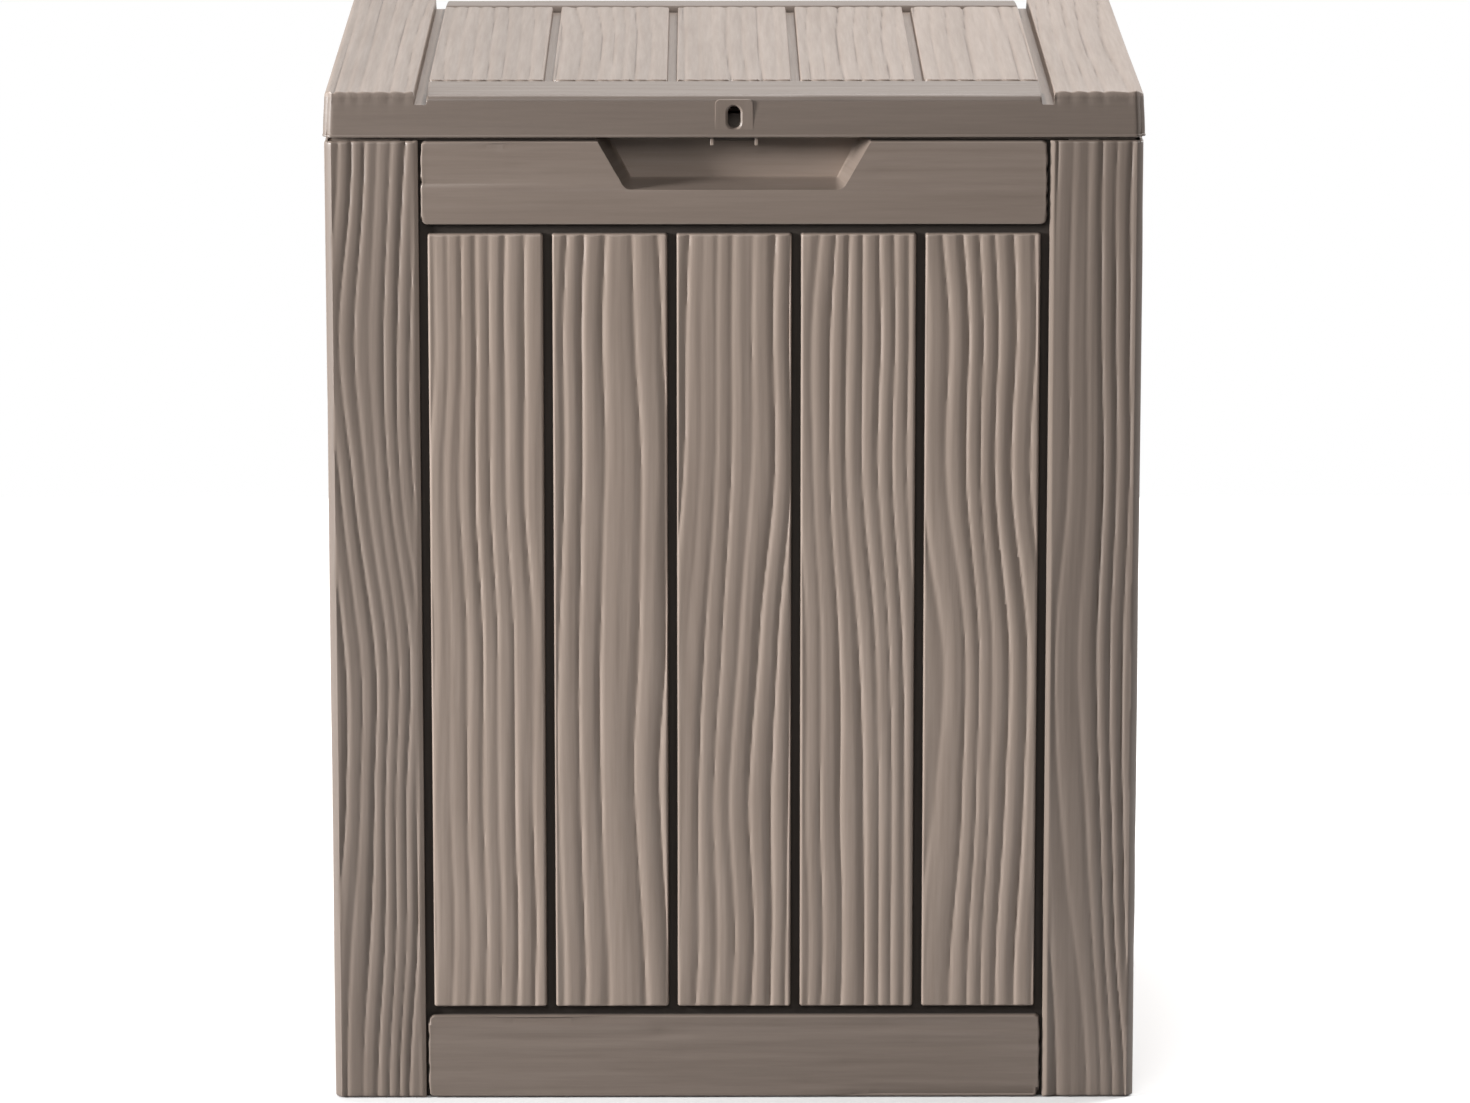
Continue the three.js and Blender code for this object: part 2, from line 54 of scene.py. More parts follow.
# ---- Sizes, in millimetres ----
BODY_LOW, BODY_HIGH = (np.array(v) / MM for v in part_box("front_left_post"))
LID_HIGH = np.array(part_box("lid_shell")[1]) / MM
RIM_TOP = float(BODY_HIGH[2])
HALF_W = -float(BODY_LOW[0])
HALF_D = -float(BODY_LOW[1])
HEIGHT = float(LID_HIGH[2])
SKIRT_HEIGHT = 30.5
LID_GAP = 2.5
LID_BOTTOM = HEIGHT - SKIRT_HEIGHT
WALL_TOP = LID_BOTTOM - LID_GAP
WALL = 2.5
RELIEF = 5.0
BOARD_GAP = 5.6
POST_FACE = 59.5
POST_FOOT = 61.5
POST_GAP = 7.6
RAIL_END_GAP = 3.2
TONGUE_END = 49.5
TOP_RAIL = 56.0
BOTTOM_RAIL = 57.5
PLANK_BOTTOM = BOTTOM_RAIL + BOARD_GAP
PLANK_TOP = WALL_TOP - TOP_RAIL - BOARD_GAP
RIB = 2.5
BAY_WIDTH = 68.0
PLANK_BAYS = 4
FRONT_PLANKS = 5
SIDE_PLANKS = 4
SHARP_ANGLE = 33
FIELD_HALF = HALF_W - POST_FACE - POST_GAP
LID_DRAFT = 1.5
LID_RAIL = 45.4
SIDE_GROOVE_DEPTH = 9.0
LID_CORNER = 5.2
LID_SIDE_ROLL = 3.5
PAD_HALF = 12.3
SLOT_DROP = 17.3
SLOT_Z = HEIGHT - SLOT_DROP
# Hand recesses: half widths at the top and bottom, height, depth, and how far their ends and foot slope.
FRONT_GRIP = {"top": 90.0, "bottom": 71.5, "height": 32.5, "depth": 25.0, "taper": 6.0, "rise": 4.7}
SIDE_GRIP = {"top": 60.0, "bottom": 46.0, "height": 30.0, "depth": 22.0, "taper": 5.0, "rise": 4.0}
HINGE_X = 150.0
HINGE_Z = WALL_TOP - 6.0
HINGE_DEPTH = 6.5
POCKET_HALF = 29.6
POCKET_DEPTH = 16.5
POCKET_LOW = HINGE_Z - 9.0


# ---- Noise and wood grain ----
def lattice(ix, iy, seed):
    """Repeatable numbers from 0 to 1 on whole-number points."""
    h = (ix.astype(np.int64) * 374761393 + iy.astype(np.int64) * 668265263 + seed * 69069) & 0xFFFFFFFF
    h = ((h ^ (h >> 13)) * 1274126177) & 0xFFFFFFFF
    h = ((h ^ (h >> 15)) * -2048144777) & 0xFFFFFFFF
    return ((h ^ (h >> 16)) & 0xFFFF) / 65535.0


def noise(x, y, seed):
    """Smooth noise from -1 to 1."""
    x, y = np.broadcast_arrays(np.asarray(x, float), np.asarray(y, float))
    x0, y0 = np.floor(x), np.floor(y)
    fx, fy = x - x0, y - y0
    fx, fy = fx * fx * (3 - 2 * fx), fy * fy * (3 - 2 * fy)
    low = lattice(x0, y0, seed) * (1 - fx) + lattice(x0 + 1, y0, seed) * fx
    high = lattice(x0, y0 + 1, seed) * (1 - fx) + lattice(x0 + 1, y0 + 1, seed) * fx
    return 2 * (low * (1 - fy) + high * fy) - 1


# How the grain wanders, in millimetres across and along a board.
WANDER, WANDER_LENGTH = 10, 250
WAVER, WAVER_LENGTH, WAVER_WIDTH = 3.6, 105, 50
UNEVEN, UNEVEN_WIDTH, UNEVEN_LENGTH = 7, 30, 900
FINE_WIDTH, FINE_LENGTH = 1.9, 160
# How deep each valley is, as shares of the grain's depth, and the shape across a ridge.
STRONGEST = 1.1
FADE_MEAN, FADE_SWING, FADE_LENGTH, FADE_STRIDE = 0.72, 0.36, 130, 7.3
FINE = 0.05
PHASE_STEP = 0.37
RIDGE_SKEW = 0.75
VALLEY_POWER = 2.6


def grain(s, t, seed, period, depth, even=0.15):
    """Depth of the grain at s across and t along a board: rounded ridges between sharp valleys."""
    drift = WANDER * noise(t / WANDER_LENGTH, 0.5, seed)
    drift = drift + WAVER * noise(t / WAVER_LENGTH, s / WAVER_WIDTH, seed + 1)
    uneven = UNEVEN * noise(s / UNEVEN_WIDTH, t / UNEVEN_LENGTH, seed + 2)
    phase = (s + drift + uneven) / period + PHASE_STEP * seed
    ridge = np.floor(phase)
    f = (phase - ridge) ** RIDGE_SKEW
    valley = np.where(f < 0.5, ridge, ridge + 1)
    strength = even + (STRONGEST - even) * lattice(valley, valley * 0, seed + 3)
    fade = FADE_MEAN + FADE_SWING * noise(t / FADE_LENGTH, valley * FADE_STRIDE, seed + 4)
    fine = FINE * noise((s + drift) / FINE_WIDTH, t / FINE_LENGTH, seed + 5)
    return depth * np.maximum(strength * fade * np.abs(2 * f - 1) ** VALLEY_POWER + fine + FINE, 0)


# How much lighter or darker each part is painted, from -1 to 1. These are painted shade: the skirt, posts
# and corner strips are darkened for how the light falls on them.
SKIRT_PAINTED_SHADE = -1.2
POST_PAINTED_SHADE = -0.7
CORNER_PAINTED_SHADE = -1.35


# ---- Boards ----
# What a board is unless it says otherwise. wave is how far its grain bites into its ends.
PLAIN_BOARD = {"tone": 0.45, "period": 11.5, "grain": 2.3, "corner": 2.0, "edge": 1.7, "drop": 0.0,
               "wave": 0.0, "stretch": 1.0, "even": 0.15}
EDGE_DRAFT = 0.4
GRAIN_EASE = 2.0
BOARD_REACH = 3
TONE_SPREAD = 0.12
PLACE_STEP = 200


def board(x0, x1, z0, z1, along, seed, **more):
    """A raised board in a wall's or the lid's own plane. along is the axis its grain follows."""
    return {**PLAIN_BOARD, "x0": x0, "x1": x1, "z0": z0, "z1": z1, "along": along, "seed": seed, **more}


def edge_profile(d, height, radius):
    """Depth behind a board's face at d in from its foot: a steep side, then a rounded edge."""
    side = height - (height - radius) * np.clip(d / EDGE_DRAFT, 0, 1)
    u = np.clip(radius - (d - EDGE_DRAFT), 0, radius)
    return np.where(d < EDGE_DRAFT, side, radius - np.sqrt(radius * radius - u * u))


def board_depth(x, z, b, floor):
    """(depth behind the wall's plane, grain valley from 0 to 1, across, along) for one board."""
    s, t = (x, z) if b["along"] == "z" else (z, x)
    cut = grain(s, t * b["stretch"], b["seed"], b["period"], b["grain"], b["even"])
    half_x, half_z = (b["x1"] - b["x0"]) / 2, (b["z1"] - b["z0"]) / 2
    qx = np.abs(x - (b["x0"] + b["x1"]) / 2) - (half_x - b["corner"])
    qz = np.abs(z - (b["z0"] + b["z1"]) / 2) - (half_z - b["corner"])
    if b["along"] == "x":
        qx = qx + b["wave"] * cut
    else:
        qz = qz + b["wave"] * cut
    outside = np.hypot(np.maximum(qx, 0), np.maximum(qz, 0))
    d = b["corner"] - np.minimum(np.maximum(qx, qz), 0) - outside
    top = b["drop"](x, z) if callable(b["drop"]) else b["drop"]
    face = np.minimum(cut * np.clip(d / GRAIN_EASE, 0, 1), floor - top)
    depth = np.minimum(top + edge_profile(d, floor - top, b["edge"]) + face, floor)
    depth = np.where(d <= 0, floor, depth)
    return depth, np.where(d > 0, cut / max(b["grain"], 1e-6), 0), s, t


def board_field(x, z, boards, floor):
    """The depth of a face with boards on it, and what its material reads at each point."""
    depth = np.array(np.broadcast_to(floor, x.shape), float)
    notes = {"valley": np.zeros(x.shape), "tone": np.zeros(x.shape)}
    across, along = np.array(x, float), np.array(z, float)
    for b in boards:
        near = (x > b["x0"] - BOARD_REACH) & (x < b["x1"] + BOARD_REACH)
        near &= (z > b["z0"] - BOARD_REACH) & (z < b["z1"] + BOARD_REACH)
        if not near.any():
            continue
        own_floor = np.broadcast_to(floor, x.shape)[near]
        d, valley, s, t = board_depth(x[near], z[near], b, own_floor)
        depth[near] = np.minimum(depth[near], d)
        notes["valley"][near] = np.maximum(notes["valley"][near], valley)
        # Each board's painted lightness or shade, plus a small random tone of its own.
        notes["tone"][near] = b["tone"] + TONE_SPREAD * float(noise(b["seed"] + 0.5, 5.5, 11))
        across[near] = s + PLACE_STEP * b["seed"]
        along[near] = t
    # Painted shade: the further a point lies behind the face, the darker it is painted.
    notes["groove"] = np.clip(depth / RELIEF, 0, 1) ** 2
    return depth, notes, across, along


# ---- Grids and shells ----
def edge_marks(low, high, radius):
    """Grid lines for a board's two edges, so that their rounding comes out smooth."""
    steps = [-0.6, 0, EDGE_DRAFT] + [EDGE_DRAFT + radius * k for k in (0.06, 0.2, 0.4, 0.7, 1.0, 1.5)]
    return [low + k for k in steps] + [high - k for k in steps]


def axis(low, high, marks, step):
    """Sorted grid lines from low to high through every mark, no further apart than step."""
    points = sorted(m for m in marks if low + 0.05 < m < high - 0.05)
    kept = [low]
    for p in points:
        if p - kept[-1] > 0.04:
            kept.append(p)
    kept.append(high)
    lines = []
    for a, b in zip(kept, kept[1:]):
        n = max(1, math.ceil((b - a) / step))
        lines.extend(a + (b - a) * i / n for i in range(n))
    return np.array(lines + [high])


NOTE_NAMES = ("valley", "tone", "groove")


class Shell:
    """The points, faces and material notes of one closed piece, in millimetres."""

    def __init__(self):
        self.points = []
        self.notes = []
        self.places = []
        self.faces = []
        self.count = 0

    def add(self, xyz, notes=None, across=None, along=None):
        """Adds an array of points and returns their numbers in the same layout."""
        shape = xyz.shape[:-1]
        n = int(np.prod(shape))
        self.points.append(xyz.reshape(n, 3))
        notes = notes or dict.fromkeys(NOTE_NAMES, 0.0)
        columns = [np.broadcast_to(notes[k], shape).reshape(n) for k in NOTE_NAMES]
        self.notes.append(np.stack(columns, 1))
        across = xyz[..., 0] + xyz[..., 1] if across is None else across
        along = xyz[..., 2] if along is None else along
        flat = [np.broadcast_to(v, shape).reshape(n) for v in (across, along)]
        self.places.append(np.stack([flat[0], flat[1], np.zeros(n)], 1))
        numbers = np.arange(self.count, self.count + n).reshape(shape)
        self.count += n
        return numbers

    def quads(self, numbers, keep=None):
        """Faces between neighbouring points of a two-way grid of point numbers."""
        a, b = numbers[:-1, :-1], numbers[1:, :-1]
        c, d = numbers[1:, 1:], numbers[:-1, 1:]
        faces = np.stack([a, b, c, d], -1)
        faces = faces[keep] if keep is not None else faces.reshape(-1, 4)
        self.faces.extend(faces.tolist())

    def face(self, *runs):
        """One flat face round the runs of point numbers given, one after another."""
        loop = [int(n) for run in runs for n in run]
        clean = [n for i, n in enumerate(loop) if n != loop[i - 1]]
        self.faces.append(clean)

    def piece(self, name, body, material, turn=0, origin=(0, 0, 0), replaces=()):
        """Makes the Blender object, turned by quarter turns about Z and moved to origin."""
        points = np.concatenate(self.points)
        angle = turn * math.pi / 2
        c, s = round(math.cos(angle)), round(math.sin(angle))
        x, y = points[:, 0] * c - points[:, 1] * s, points[:, 0] * s + points[:, 1] * c
        points = (np.stack([x, y, points[:, 2]], 1) + np.array(origin)) * MM
        mesh = bpy.data.meshes.new(name)
        mesh.from_pydata(points.tolist(), [], self.faces)
        notes, places = np.concatenate(self.notes), np.concatenate(self.places)
        for i, key in enumerate(NOTE_NAMES):
            attribute = mesh.attributes.new(key, "FLOAT", "POINT")
            attribute.data.foreach_set("value", notes[:, i].astype(np.float32))
        attribute = mesh.attributes.new("place", "FLOAT_VECTOR", "POINT")
        attribute.data.foreach_set("vector", (places * MM).astype(np.float32).ravel())
        tidy = bmesh.new()
        tidy.from_mesh(mesh)
        bmesh.ops.recalc_face_normals(tidy, faces=tidy.faces)
        tidy.to_mesh(mesh)
        tidy.free()
        mesh.shade_smooth()
        mesh.set_sharp_from_angle(angle=math.radians(SHARP_ANGLE))
        mesh.materials.append(material)
        made = bpy.data.objects.new(name, mesh)
        bpy.context.scene.collection.objects.link(made)
        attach(made, body)
        if replaces:
            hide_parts(*replaces)
        return made


def loft(shell, rings):
    """Faces between closed rings of points, one after another."""
    for a, b in zip(rings, rings[1:]):
        shell.quads(np.stack([np.append(a, a[0]), np.append(b, b[0])], 1))


def close_borders(shell, front, back):
    """Joins two grids that lie over each other with a face along each of their four sides."""
    shell.face(front[:, 0], back[::-1, 0])
    shell.face(front[:, -1], back[::-1, -1])
    shell.face(front[0, :], back[0, ::-1])
    shell.face(front[-1, :], back[-1, ::-1])


# ---- Materials ----
class Tree:
    """The nodes of a material or world, made by type with their settings and links in one call."""

    def __init__(self, owner):
        owner.use_nodes = True
        self.owner = owner
        self.tree = owner.node_tree
        self.shader = self.tree.nodes.get("Principled BSDF")

    def node(self, kind, settings=None, **sockets):
        made = self.tree.nodes.new("ShaderNode" + kind)
        for key, value in (settings or {}).items():
            setattr(made, key, value)
        for key, value in sockets.items():
            self.put(made.inputs[key.replace("_", " ")], value)
        return made

    def put(self, socket, value):
        if isinstance(value, bpy.types.NodeSocket):
            self.tree.links.new(value, socket)
        else:
            socket.default_value = value

    def math(self, operation, a, b, clamp=False):
        made = self.node("Math", {"operation": operation, "use_clamp": clamp})
        self.put(made.inputs[0], a)
        self.put(made.inputs[1], b)
        return made.outputs[0]

    def mix(self, share, a, b, blend="MIX"):
        made = self.node("Mix", {"data_type": "RGBA", "blend_type": blend})
        self.put(made.inputs["Factor"], share)
        self.put(made.inputs["A"], a)
        self.put(made.inputs["B"], b)
        return made.outputs["Result"]

    def attribute(self, name, output="Fac"):
        return self.node("Attribute", {"attribute_name": name}).outputs[output]

    def span(self, value, low, high, out_low, out_high):
        made = self.node("MapRange", From_Min=low, From_Max=high, To_Min=out_low, To_Max=out_high)
        self.put(made.inputs["Value"], value)
        return made.outputs["Result"]


def linear(r, g, b):
    """An sRGB colour, given from 0 to 255, as a linear one."""
    values = [v / 255 for v in (r, g, b)]
    return [v / 12.92 if v <= 0.04045 else ((v + 0.055) / 1.055) ** 2.4 for v in values] + [1.0]


# Dark brown that is painted in as shade where light barely reaches: grooves, hollows and hidden parts.
PAINTED_SHADE_COLOUR = linear(20, 13, 7)


def resin(name, base, dark, grained=True):
    """Satin moulded resin. With grain it reads the notes that each shell carries."""
    tree = Tree(bpy.data.materials.new(name))
    if grained:
        place = tree.attribute("place", "Vector")
    else:
        place = tree.node("TexCoord").outputs["Object"]
    stretched = tree.node("Mapping", Vector=place, Scale=(1, 0.045 if grained else 1, 1)).outputs[0]
    streaks = tree.node("TexNoise", Vector=stretched, Scale=260.0, Detail=4.0, Roughness=0.6)
    streaks = streaks.outputs["Fac"]
    clouds = tree.node("TexNoise", Vector=stretched, Scale=38.0, Detail=2.0).outputs["Fac"]
    speckle = tree.node("TexNoise", Vector=place, Scale=2600.0, Detail=2.0).outputs["Fac"]
    colour = tree.mix(tree.span(streaks, 0.3, 0.7, 0.0, 0.3), base, dark)
    colour = tree.mix(tree.span(clouds, 0.35, 0.7, 0.0, 0.25), colour, dark)
    if grained:
        valley = tree.span(tree.attribute("valley"), 0.25, 1.0, 0.0, 0.4)
        colour = tree.mix(valley, colour, dark)
        # The tone note is a small random tone per board plus painted light and shade that make whole
        # parts lighter or darker.
        tone = tree.span(tree.attribute("tone"), -1.5, 1.0, 0.515, 1.14)
        hue = tree.node("HueSaturation", Color=colour, Value=tone).outputs[0]
        # Painted shade: points with a high shade note are mixed towards the dark shade colour, and made
        # rougher.
        shade_share = tree.span(tree.attribute("groove"), 0.12, 0.9, 0.0, 0.92)
        colour = tree.mix(shade_share, hue, PAINTED_SHADE_COLOUR)
    tree.put(tree.shader.inputs["Base Color"], colour)
    rough = tree.span(streaks, 0.25, 0.75, 0.36, 0.52)
    if grained:
        rough = tree.math("ADD", rough, tree.span(shade_share, 0.0, 0.92, 0.0, 0.5))
    tree.put(tree.shader.inputs["Roughness"], rough)
    tree.shader.inputs["Specular IOR Level"].default_value = 0.6
    height = tree.math("MULTIPLY", streaks, 0.75)
    height = tree.math("ADD", height, tree.math("MULTIPLY", speckle, 0.12))
    bump = tree.node("Bump", Strength=0.55, Distance=0.00022, Height=height)
    tree.put(tree.shader.inputs["Normal"], bump.outputs["Normal"])
    return tree.owner


RESIN = resin("resin_grained", linear(168, 151, 139), linear(117, 100, 87))
RESIN_PLAIN = resin("resin_plain", linear(146, 132, 122), linear(124, 109, 99), grained=False)
PIN_RESIN = resin("resin_pin", linear(84, 75, 67), linear(62, 54, 48), grained=False)


# ---- Wall panels ----
STEP_ACROSS, STEP_UP = 1.4, 4.6
WARP_END = 150
GRIP_BACK_PAINTED_LIGHT, GRIP_SLOPE_PAINTED_SHADE = 0.2, -1.1
# Grain for each plank in turn.
PERIODS = (11.0, 16.0, 11.5, 11.0, 12.0)
EVENS = (0.15, 0.2, 0.15, 0.2, 0.5)


def boards_of(length, planks, seed):
    """A wall's two rails and its row of planks."""
    rail_half = length / 2 - POST_FACE - RAIL_END_GAP
    row_half = length / 2 - POST_FACE - POST_GAP
    pitch = (2 * row_half + BOARD_GAP) / planks
    rail = {"corner": 4.5, "grain": 1.4, "period": 10.5, "wave": 1.2, "edge": 1.2}
    # The rails are painted darker than the planks as shade.
    boards = [
        board(-rail_half, rail_half, 0, BOTTOM_RAIL, "x", seed, tone=-1.0, **rail),
        board(-rail_half, rail_half, WALL_TOP - TOP_RAIL, WALL_TOP, "x", seed + 1, tone=-0.6, **rail),
    ]
    for i in range(planks):
        x0 = -row_half + i * pitch
        own = {"period": PERIODS[i % len(PERIODS)], "even": EVENS[i % len(EVENS)]}
        x1 = x0 + pitch - BOARD_GAP
        boards.append(board(x0, x1, PLANK_BOTTOM, PLANK_TOP, "z", seed + 2 + i, **own))
    return boards


def grip_half(grip, z, margin=0.0):
    """Half the width of a hand recess's mouth at a height."""
    lean = (grip["top"] - grip["bottom"]) / grip["height"]
    return grip["bottom"] + margin + lean * np.maximum(z - (WALL_TOP - grip["height"]) + margin, 0)


def grip_warp(u, z, grip):
    """Leans the grid's upright lines, so that they follow the slanting ends of the hand recess."""
    lean = (grip["top"] - grip["bottom"]) / grip["height"]
    shift = lean * np.maximum(z - (WALL_TOP - grip["height"]), 0)
    far = np.clip((WARP_END - np.abs(u)) / (WARP_END - grip["bottom"]), 0, 1)
    share = np.minimum(np.abs(u) / grip["bottom"], 1) * far
    return u + np.sign(u) * shift * share


def grip_depth(x, z, grip, margin=0.0):
    """Depth of a hand recess behind the wall's face, with rounded inner edges."""
    side = np.clip((grip_half(grip, z, margin) - np.abs(x)) / grip["taper"], 0, 1)
    low = WALL_TOP - grip["height"] - margin
    foot = np.clip((z - low) / (grip["rise"] + margin), 0, 1)
    short = ((1 - side) ** 2.6 + (1 - foot) ** 2.6) ** (1 / 2.6)
    return (grip["depth"] + margin) * np.clip(1 - short, 0, 1)


def span_mask(v, low, high, slope=0.3):
    """1 between low and high, falling to 0 over a short slope."""
    return np.clip((v - low) / slope, 0, 1) * np.clip((high - v) / slope, 0, 1)


def bays(low, high, count):
    """The spans between ribs that share out a length evenly."""
    bay = (high - low - (count - 1) * RIB) / count
    return [(low + i * (bay + RIB), low + i * (bay + RIB) + bay) for i in range(count)]


def hollows_of(b, keep_solid):
    """The ribbed hollows in the back of one board, as (x0, x1, z0, z1)."""
    x0, x1 = b["x0"] + WALL, b["x1"] - WALL
    spans = [(x0, -keep_solid), (keep_solid, x1)] if keep_solid else [(x0, x1)]
    rows = bays(b["z0"] + WALL, b["z1"] - WALL, PLANK_BAYS if b["along"] == "z" else 1)
    found = []
    for low, high in spans:
        for left, right in bays(low, high, math.ceil((high - low) / BAY_WIDTH)):
            found.extend((left, right, z0, z1) for z0, z1 in rows)
    return found


def wall_panel(name, length, planks, seed, turn, origin, grip=None, pockets=()):
    """One wall: boards and recesses on its outer face, and ribbed hollows behind them."""
    half = length / 2 - TONGUE_END
    boards = boards_of(length, planks, seed)
    marks_x, marks_z = [], [WALL_TOP]
    for b in boards:
        marks_x += edge_marks(b["x0"], b["x1"], b["edge"])
        marks_z += edge_marks(b["z0"], b["z1"], b["edge"])
    back_x, back_z = [], [WALL_TOP]
    if grip:
        low = WALL_TOP - grip["height"]
        inward = [grip["taper"] * k for k in (-0.1, 0, 0.04, 0.12, 0.25, 0.4, 0.6, 0.8, 1.0)]
        marks_x += [side * (grip["bottom"] - k) for k in inward for side in (-1, 1)]
        marks_z += [low + grip["rise"] * k for k in (-0.1, 0, 0.04, 0.12, 0.25, 0.4, 0.6, 0.8, 1.0)]
        back_x += [side * (grip["bottom"] + WALL - k) for k in inward for side in (-1, 1)]
        back_z += [low - WALL + (grip["rise"] + WALL) * k for k in (0, 0.1, 0.3, 0.6, 1.0)]
    for x in pockets:
        for k in (0, 0.3):
            marks_x += [x - POCKET_HALF + k, x + POCKET_HALF - k]
            back_x += [x - POCKET_HALF - WALL + k, x + POCKET_HALF + WALL - k]
            marks_z.append(POCKET_LOW + k)
            back_z.append(POCKET_LOW - WALL + k)
    hollows = []
    for b in boards:
        keep_solid = grip["top"] + 2 * WALL if grip and b["z1"] == WALL_TOP else 0
        hollows += hollows_of(b, keep_solid)
    for x0, x1, z0, z1 in hollows:
        back_x += [x0, x0 + 0.3, x1 - 0.3, x1]
        back_z += [z0, z0 + 0.3, z1 - 0.3, z1]

    def warped(u, z):
        return grip_warp(u, z, grip) if grip else u

    lines = axis(-half, half, marks_x, STEP_ACROSS), axis(0, RIM_TOP, marks_z, STEP_UP)
    u, z = np.meshgrid(*lines, indexing="ij")
    x = warped(u, z)
    depth, notes, across, along = board_field(x, z, boards, RELIEF)
    # Painted shade on the band above the wall top, under the lid.
    notes["groove"] = np.where(z > WALL_TOP, 0.3, notes["groove"])
    inside = np.zeros(x.shape)
    if grip:
        inside = np.maximum(inside, grip_depth(x, z, grip))
    for at in pockets:
        inside = np.maximum(inside, POCKET_DEPTH * span_mask(x, at - POCKET_HALF, at + POCKET_HALF)
                            * span_mask(z, POCKET_LOW, RIM_TOP + 9))
    # Inside the hand recesses and hinge pockets only a trace of painted shade is kept, and the grain
    # valleys are not darkened.
    notes["groove"] = np.where(inside > 0.5, 0.08, notes["groove"])
    notes["valley"] = np.where(inside > 0.5, 0, notes["valley"])
    # Painted light on the recess's back wall, and painted shade on its sloping sides and foot.
    if grip:
        own = np.where(inside > 0.9 * grip["depth"], GRIP_BACK_PAINTED_LIGHT, GRIP_SLOPE_PAINTED_SHADE)
        notes["tone"] = np.where(inside > 0.5, own, notes["tone"])
    shell = Shell()
    front = shell.add(np.stack([x, np.maximum(depth, inside), z], -1), notes, across, along)
    shell.quads(front)

    u, z = np.meshgrid(axis(-half, half, back_x, 24), axis(0, RIM_TOP, back_z, 40), indexing="ij")
    x = warped(u, z)
    inner = np.full(x.shape, RELIEF + WALL)
    for x0, x1, z0, z1 in hollows:
        inner -= RELIEF * span_mask(u, x0, x1) * span_mask(z, z0, z1)
    if grip:
        inner = np.maximum(inner, grip_depth(x, z, grip, WALL))
    for at in pockets:
        inner = np.maximum(inner, (POCKET_DEPTH + WALL)
                           * span_mask(x, at - POCKET_HALF - WALL, at + POCKET_HALF + WALL)
                           * span_mask(z, POCKET_LOW - WALL, RIM_TOP + 9))
    back = shell.add(np.stack([x, inner, z], -1))
    shell.quads(back)
    close_borders(shell, front, back)
    return shell.piece(name + "_boards", "box", RESIN, turn, origin, [name])


wall_panel("front_panel", 2 * HALF_W, FRONT_PLANKS, 10, 0, (0, -HALF_D, 0), FRONT_GRIP)
wall_panel("right_side_panel", 2 * HALF_D, SIDE_PLANKS, 30, 1, (HALF_W, 0, 0), SIDE_GRIP)
wall_panel("back_panel", 2 * HALF_W, FRONT_PLANKS, 50, 2, (0, HALF_D, 0), pockets=(-HINGE_X, HINGE_X))
wall_panel("left_side_panel", 2 * HALF_D, SIDE_PLANKS, 70, 3, (-HALF_W, 0, 0), SIDE_GRIP)


# ---- Corner posts ----
CORNER_RADIUS = 4.6
# The chamfer at the post's inner edge starts POST_EDGE before POST_FACE and runs out to POST_FOOT,
# where it is POST_CHAMFER deep.
POST_EDGE = 1.6
POST_CHAMFER = 1.1
POST_GRAIN = 1.95
POST_ROLL = 1.8
POST_EDGE_PAINTED_LIGHT = 0.4
CHANNEL_FRONT = RELIEF - 0.3
CHANNEL_BACK = RELIEF + WALL + 0.3
FLANGE_BACK = CHANNEL_BACK + WALL
WEB = TONGUE_END - 0.3


def post_leg():
    """One leg's outer outline from the corner to its foot: points and inward directions."""
    flat = axis(CORNER_RADIUS, POST_FACE - POST_EDGE, [], 1.2)
    points = [(u, 0.0) for u in flat]
    inward = [(0.0, 1.0)] * len(flat)
    end = POST_FACE - POST_EDGE
    for share in (0.25, 0.5, 0.75, 1.0):
        points.append((end + share * (POST_FOOT - 0.2 - end), POST_CHAMFER * share ** 1.3))
        inward.append((-0.3, 0.95))
    points += [(POST_FOOT, POST_CHAMFER + 0.5), (POST_FOOT, CHANNEL_FRONT)]
    inward += [(-1.0, 0.0)] * 2
    return np.array(points), np.array(inward)


